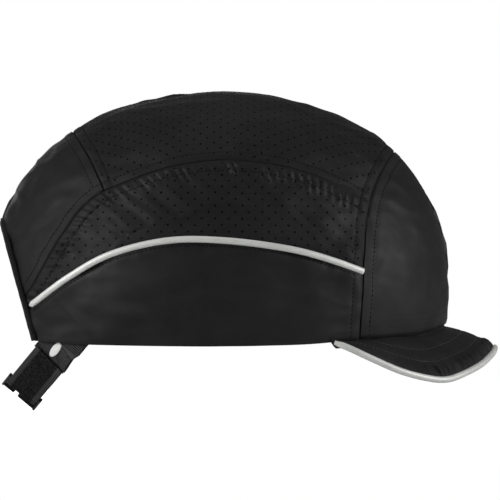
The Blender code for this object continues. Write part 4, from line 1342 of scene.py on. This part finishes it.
def arc(start, end, out=0.0, step=2.0):
    count = max(2, round(abs(end - start) / step))
    return [(start + (end - start) * index / count, out) for index in range(count + 1)]


tape("baseTape", arc(-(elasticEnd - hair), strap["nearBar"] - 1) + foldPath(strap["nearBar"], 1),
     strap["tapeWidth"], "loopTape", ["base_tape"], "strap", ridge=smoothTape)
tailPath = landing(strap["nearBar"], -9.0, topOfFold, stacked)
tailPath += arc(strap["nearBar"] - 9.0, -tailEnd, stacked)
tail = tape("tailTape", tailPath, strap["tapeWidth"], "loopTape", ["tail_tape"],
            None, ridge=loopTape)
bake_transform(tail)
bucklePath = arc(elasticEnd - hair, strap["middleBar"] + 1) + foldPath(strap["middleBar"], -1)
bucklePath += landing(strap["middleBar"], 6.6, topOfFold, stacked)[1:]
bucklePath += arc(strap["middleBar"] + 6.6, strap["gateBar"] + 11, stacked)
tape("buckleTape", bucklePath, strap["tapeWidth"], "loopTape", ["buckle_tape"],
     "strap", ridge=smoothTape)
print("rear strap")


# ---- inside the crown

band = {"top": 31 * mm, "lift": 1 * mm, "inset": 5.9 * mm, "halfThickness": 1.15 * mm,
        "endTurn": 144.6, "steps": 300}
frames = []
for step in range(band["steps"] + 1):
    turn = math.radians(band["endTurn"] * (2 * step / band["steps"] - 1))
    low = hemLevel(max(-105 * mm, roundPoint(turn, 8 * mm).x)) + band["lift"]
    level = (low + band["top"]) / 2
    spot = roundPoint(turn, level, band["inset"])
    rise = (roundPoint(turn, level + 4 * mm, band["inset"])
            - roundPoint(turn, level - 4 * mm, band["inset"])).normalized()
    out = outward(spot)
    frames.append((spot, rise * (band["top"] - low) / 2, out * band["halfThickness"]))
bm = tube(frames, around=64, roundness=7)
bm.normal_update()
for vert in bm.verts:
    terry = noise.noise(vert.co * 900) + 0.6 * noise.noise(vert.co * 1700)
    vert.co += vert.normal * 0.16 * mm * terry
sweatband = addPiece("sweatBand", bm, "terry", "cap", ["sweatband"])


def frontViewPoint(width, level, inset, ahead):
    # a place on the crown from its front or rear view
    front, rear, side = crownReaches(level, inset)
    reach = front if ahead > 0 else rear
    cosine = 1.0
    for _ in range(6):
        sine = max(-0.999, min(0.999, width / (side * (1 - crown["egg"] * ahead * cosine))))
        cosine = math.sqrt(1 - sine * sine)
    return Vector((ahead * reach * cosine, width, level))


foam = {"inset": 4.7 * mm, "thickness": 4.9 * mm, "cuts": 22, "squareness": 5.0, "edge": 0.13}


def foamPad(name, size, place, nodes):
    bm = bmesh.new()
    bmesh.ops.create_cube(bm, size=2.0)
    bmesh.ops.subdivide_edges(bm, edges=bm.edges[:], cuts=foam["cuts"], use_grid_fill=True)
    for vert in bm.verts:
        x, y, z = vert.co
        reach = max(abs(x), abs(y))
        power = foam["squareness"]
        shrink = reach / max((abs(x) ** power + abs(y) ** power) ** (1 / power), 1e-9)
        x, y = x * shrink, y * shrink
        share = min((1 - reach) / foam["edge"], 1.0)
        swell = math.sqrt(max(0.0, 1 - (1 - share) ** 2))
        depth = (0.5 + 0.5 * z) * (0.25 + 0.75 * swell)
        depth = depth * foam["thickness"] * (1 + 0.04 * noise.noise(Vector((x * 3, y * 3, 1.0))))
        vert.co = place(x * size[0] / 2, y * size[1] / 2, foam["inset"] + depth)
    bmesh.ops.recalc_face_normals(bm, faces=bm.faces)
    piece = addPiece(name, bm, "foam", "cap", nodes)


foamPad("crownPad", (96 * mm, 72 * mm), planPoint, ["crown_pad"])
foamPad("frontPad", (72 * mm, 50 * mm), lambda width, up, inset: frontViewPoint(
    width, 60 * mm + up, inset, 1), ["front_pad"])
foamPad("rearPad", (64 * mm, 24 * mm), lambda width, up, inset: frontViewPoint(
    width, 92 * mm + up, inset, -1), ["rear_pad"])
for handName, hand in sides.items():
    foamPad(f"sidePad{handName.title()}", (100 * mm, 20 * mm), lambda x, up, inset: sidePoint(
        x, 46 * mm + up, hand, inset), [f"side_pad_{handName}"])
print("sweatband and pads")

shell = {"inset": 2.0 * mm, "thickness": 2.0 * mm, "rim": 21 * mm, "behindOpening": 11 * mm,
         "around": 250, "rows": 74, "slotPitch": 26 * mm, "slot": (17 * mm, 6 * mm),
         "slotLevel": 66 * mm, "topSlot": (20 * mm, 6 * mm), "topOffset": 47 * mm,
         "topPitch": 32 * mm}
bm = bmesh.new()
bmesh.ops.create_grid(bm, x_segments=shell["around"], y_segments=shell["rows"], size=0.5)
top = crown["height"] - shell["inset"]
for vert in bm.verts:
    turn = math.tau * (vert.co.x + 0.5)
    share = math.sin((vert.co.y + 0.5) * math.pi / 2) ** 0.92
    vert.co = roundPoint(turn, shell["rim"] + (top - shell["rim"]) * share, shell["inset"])
bmesh.ops.remove_doubles(bm, verts=bm.verts, dist=1e-6)
foot, head = Vector(seamLines["opening"][1]) * mm, Vector(seamLines["opening"][2]) * mm
away = Vector((-(head - foot).y, (head - foot).x)).normalized()
cutAt = foot - away * shell["behindOpening"]
bmesh.ops.bisect_plane(bm, geom=[*bm.verts, *bm.edges, *bm.faces], plane_co=(cutAt.x, 0, cutAt.y),
                       plane_no=(away.x, 0, away.y), clear_outer=True)
slots = [((index - 2) * shell["slotPitch"], shell["slotLevel"], hand, shell["slot"], "side")
         for index in range(5) for hand in sides.values()]
slots += [((index - 1) * shell["topPitch"], hand * shell["topOffset"], hand, shell["topSlot"], "top")
          for index in range(3) for hand in sides.values()]


def slotDistance(point, slot):
    # how far outside a slot's rounded outline a place on the shell is, and the way out
    along, across, hand, size, kind = slot
    if point.y * hand < 0 or (kind == "side") != (point.z < 90 * mm):
        return 1.0, Vector((0, 0))
    flat = Vector((point.x - along, (point.z if kind == "side" else point.y) - across))
    half = size[0] / 2 - size[1] / 2
    core = Vector((max(-half, min(half, flat.x)), 0))
    away = flat - core
    return away.length - size[1] / 2, away.normalized() if away.length > 1e-6 else Vector((0, 1))


for slotPlace in slots:
    kind = slotPlace[4]
    near = [vert for vert in bm.verts if abs(slotDistance(vert.co, slotPlace)[0]) < 1.1 * mm]
    for vert in near:
        distance, away = slotDistance(vert.co, slotPlace)
        if kind == "side":
            vert.co = sidePoint(vert.co.x - away.x * distance, vert.co.z - away.y * distance,
                                slotPlace[2], shell["inset"])
        else:
            vert.co = planPoint(vert.co.x - away.x * distance, vert.co.y - away.y * distance,
                                shell["inset"])
    gone = [face for face in bm.faces
            if slotDistance(face.calc_center_median(), slotPlace)[0] < -0.1 * mm]
    bmesh.ops.delete(bm, geom=gone, context="FACES")
faceOutward(bm)
addPiece("impactShell", bm, "shell", "cap", ["impact_shell"], shell["thickness"])

tapes = {"halfWidth": 5.5 * mm, "halfThickness": 0.25 * mm, "depth": 1.4 * mm, "step": 2.0 * mm}


def seamTape(name, row, node):
    row = evenLine(row, tapes["step"])
    bm = tube(crownFrames(row, tapes["halfWidth"], tapes["halfThickness"], -tapes["depth"]),
              around=12, roundness=4)
    addPiece(name, bm, "binding", "cap", [node])


seamTape("frontSeamTape", bothSides(crownRow("front", 0, -1, aboveHem)), "front_seam_tape")
row = [spot for spot in crownRow("rear", 0, -1, lambda x, z: True) if aboveSideRow(spot.x, spot.z)]
seamTape("rearSeamTape", bothSides(row if abs(row[-1].y) < abs(row[0].y) else row[::-1]),
         "rear_seam_tape")
for handName, hand in sides.items():
    row = crownRow("side", 0, hand, lambda x, z: aheadOfOpening(x, z) and behindFrontRow(x, z))
    seamTape(f"sideSeamTape{handName.title()}", row, f"side_seam_tape_{handName}")
print("shell and seam tapes")

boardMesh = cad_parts["brim_board"].data
boardMesh.materials.clear()
boardMesh.materials.append(finish["board"])

buckle = {"arm": 0.65 * mm, "armDepth": 1.0 * mm, "gateRadius": 0.8 * mm, "gateOut": 5.7 * mm,
          "gate": (-3.2 * mm, -0.8 * mm), "half": 9.8 * mm,
          "gateDepth": 1.85 * mm, "gateLift": -1.0 * mm}
overBand = strap["barRadius"] + strap["gap"] + strap["thickness"] / 2
bars = [(strap["nearBar"], overBand, strap["barRadius"]),
        (strap["middleBar"], overBand, strap["barRadius"]),
        (strap["gateBar"], buckle["gateOut"], buckle["gateRadius"])]


def rod(bm, start, end, radius, around=16, depth=None):
    # a bar with rounded ends, as deep as its radius or deeper
    depth = depth or radius
    along = (end - start).normalized()
    across = Vector((0, 1, 0))
    across = (across - along * across.dot(along)).normalized()
    up = along.cross(across)
    ends = ((0, 0.2), (0.12, 0.62), (0.35, 0.9), (0.7, 1.0))
    stations = [(start + along * back * radius, size) for back, size in ends]
    stations += [(end - along * back * radius, size) for back, size in ends[::-1]]
    frames = [(spot, across * radius * size, up * depth * size) for spot, size in stations]
    joinInto(bm, tube(frames, around=around))


bm = bmesh.new()
reach = buckle["half"] + buckle["arm"]
for degrees, out, radius in bars[:2]:
    middle = bandPoint(degrees, out)
    rod(bm, middle - strapWide * reach, middle + strapWide * reach, radius)
middle = bandPoint(bars[2][0], bars[2][1] + buckle["gateLift"])
for low, high in ((-reach, buckle["gate"][0]), (buckle["gate"][1], reach)):
    rod(bm, middle + strapWide * low, middle + strapWide * high, buckle["gateRadius"],
        depth=buckle["gateDepth"])
armLine = smoothLine([bandPoint(bars[0][0] - degreesOf(1.2 * mm), overBand),
                      *[bandPoint(*bar[:2]) for bar in bars],
                      bandPoint(bars[2][0] + degreesOf(0.9 * mm), buckle["gateOut"] + 0.3 * mm)], 8)
for side in (-1, 1):
    frames = []
    for index, spot in enumerate(armLine):
        up = strapWide.cross(heading(armLine, index)).normalized()
        size = 1.0 if 0 < index < len(armLine) - 1 else 0.55
        frames.append((spot + strapWide * side * reach,
                       strapWide * buckle["arm"] * size, up * buckle["armDepth"] * size))
    joinInto(bm, tube(frames, around=16, roundness=4))
addPiece("slideBuckle", bm, "buckle", "strap", ["slide_buckle"])
print("buckle")


# ---- camera, light and floor

view = {"aim": (13.2 * mm, 0, 50.1 * mm), "frameWidth": 263.5 * mm, "distance": 12.0}
cameraData = bpy.data.cameras.new("camera")
cameraData.sensor_width = 36
cameraData.lens = 36 * view["distance"] / view["frameWidth"]
cameraData.clip_end = 100
camera = bpy.data.objects.new("camera", cameraData)
camera.location = (view["aim"][0], -view["distance"], view["aim"][2])
camera.rotation_euler = (math.radians(90), 0, 0)
scene.collection.objects.link(camera)
scene.camera = camera

lamps = {
    "leftBox": {"at": (-1.25, -0.5, 0.6), "size": 0.7, "power": 12.5},
    "rightBox": {"at": (1.3, -0.4, 0.5), "size": 0.7, "power": 10},
    "topBox": {"at": (0.0, -0.1, 1.3), "size": 0.7, "power": 1.6},
    "frontFill": {"at": (-0.9, -1.7, 0.9), "size": 0.6, "power": 2},
    "backFill": {"at": (-0.4, 2.0, 0.1), "size": 1.0, "power": 5},
}
for name, lamp in lamps.items():
    lampData = bpy.data.lights.new(name, "AREA")
    lampData.energy = lamp["power"]
    lampData.size = lamp["size"]
    light = bpy.data.objects.new(name, lampData)
    light.location = lamp["at"]
    light.rotation_euler = (Vector((0, 0, 0.05)) - light.location).to_track_quat("-Z", "Y").to_euler()
    scene.collection.objects.link(light)

studio = {"skyLight": 0.1, "skyWhite": 1.0, "floorLight": 0.03, "floorWhite": 0.93,
          "floorRadius": 3.0, "floorGap": 1.5 * mm}
world = bpy.data.worlds.new("studio")
world.use_nodes = True
scene.world = world
sky = world.node_tree.nodes["Background"]
sky.inputs["Color"].default_value = (1, 1, 1, 1)
# the backdrop and the floor look white, and light the cap less than that
ray = addNode(world.node_tree, "LightPath")
strength = remap(world.node_tree, ray.outputs["Is Camera Ray"], 0.0, 1.0, studio["skyLight"],
                 studio["skyWhite"])
world.node_tree.links.new(strength, sky.inputs["Strength"])
scene.view_settings.view_transform = "Standard"

floorMaterial, floorTree, floorShader = startMaterial(
    "paleFloor", Base_Color=(0.8, 0.8, 0.8, 1), Roughness=0.9, Emission_Color=(1, 1, 1, 1))
ray = addNode(floorTree, "LightPath")
glow = remap(floorTree, ray.outputs["Is Camera Ray"], 0.0, 1.0, studio["floorLight"],
             studio["floorWhite"])
floorTree.links.new(glow, floorShader.inputs["Emission Strength"])
bm = bmesh.new()
bmesh.ops.create_circle(bm, cap_ends=True, segments=96, radius=studio["floorRadius"])
bmesh.ops.translate(bm, verts=bm.verts, vec=(0, 0, cadBox[0].z - studio["floorGap"]))
floorMesh = bpy.data.meshes.new("floor")
bm.to_mesh(floorMesh)
bm.free()
floorMesh.materials.append(floorMaterial)
floor = bpy.data.objects.new("floor", floorMesh)
scene.collection.objects.link(floor)
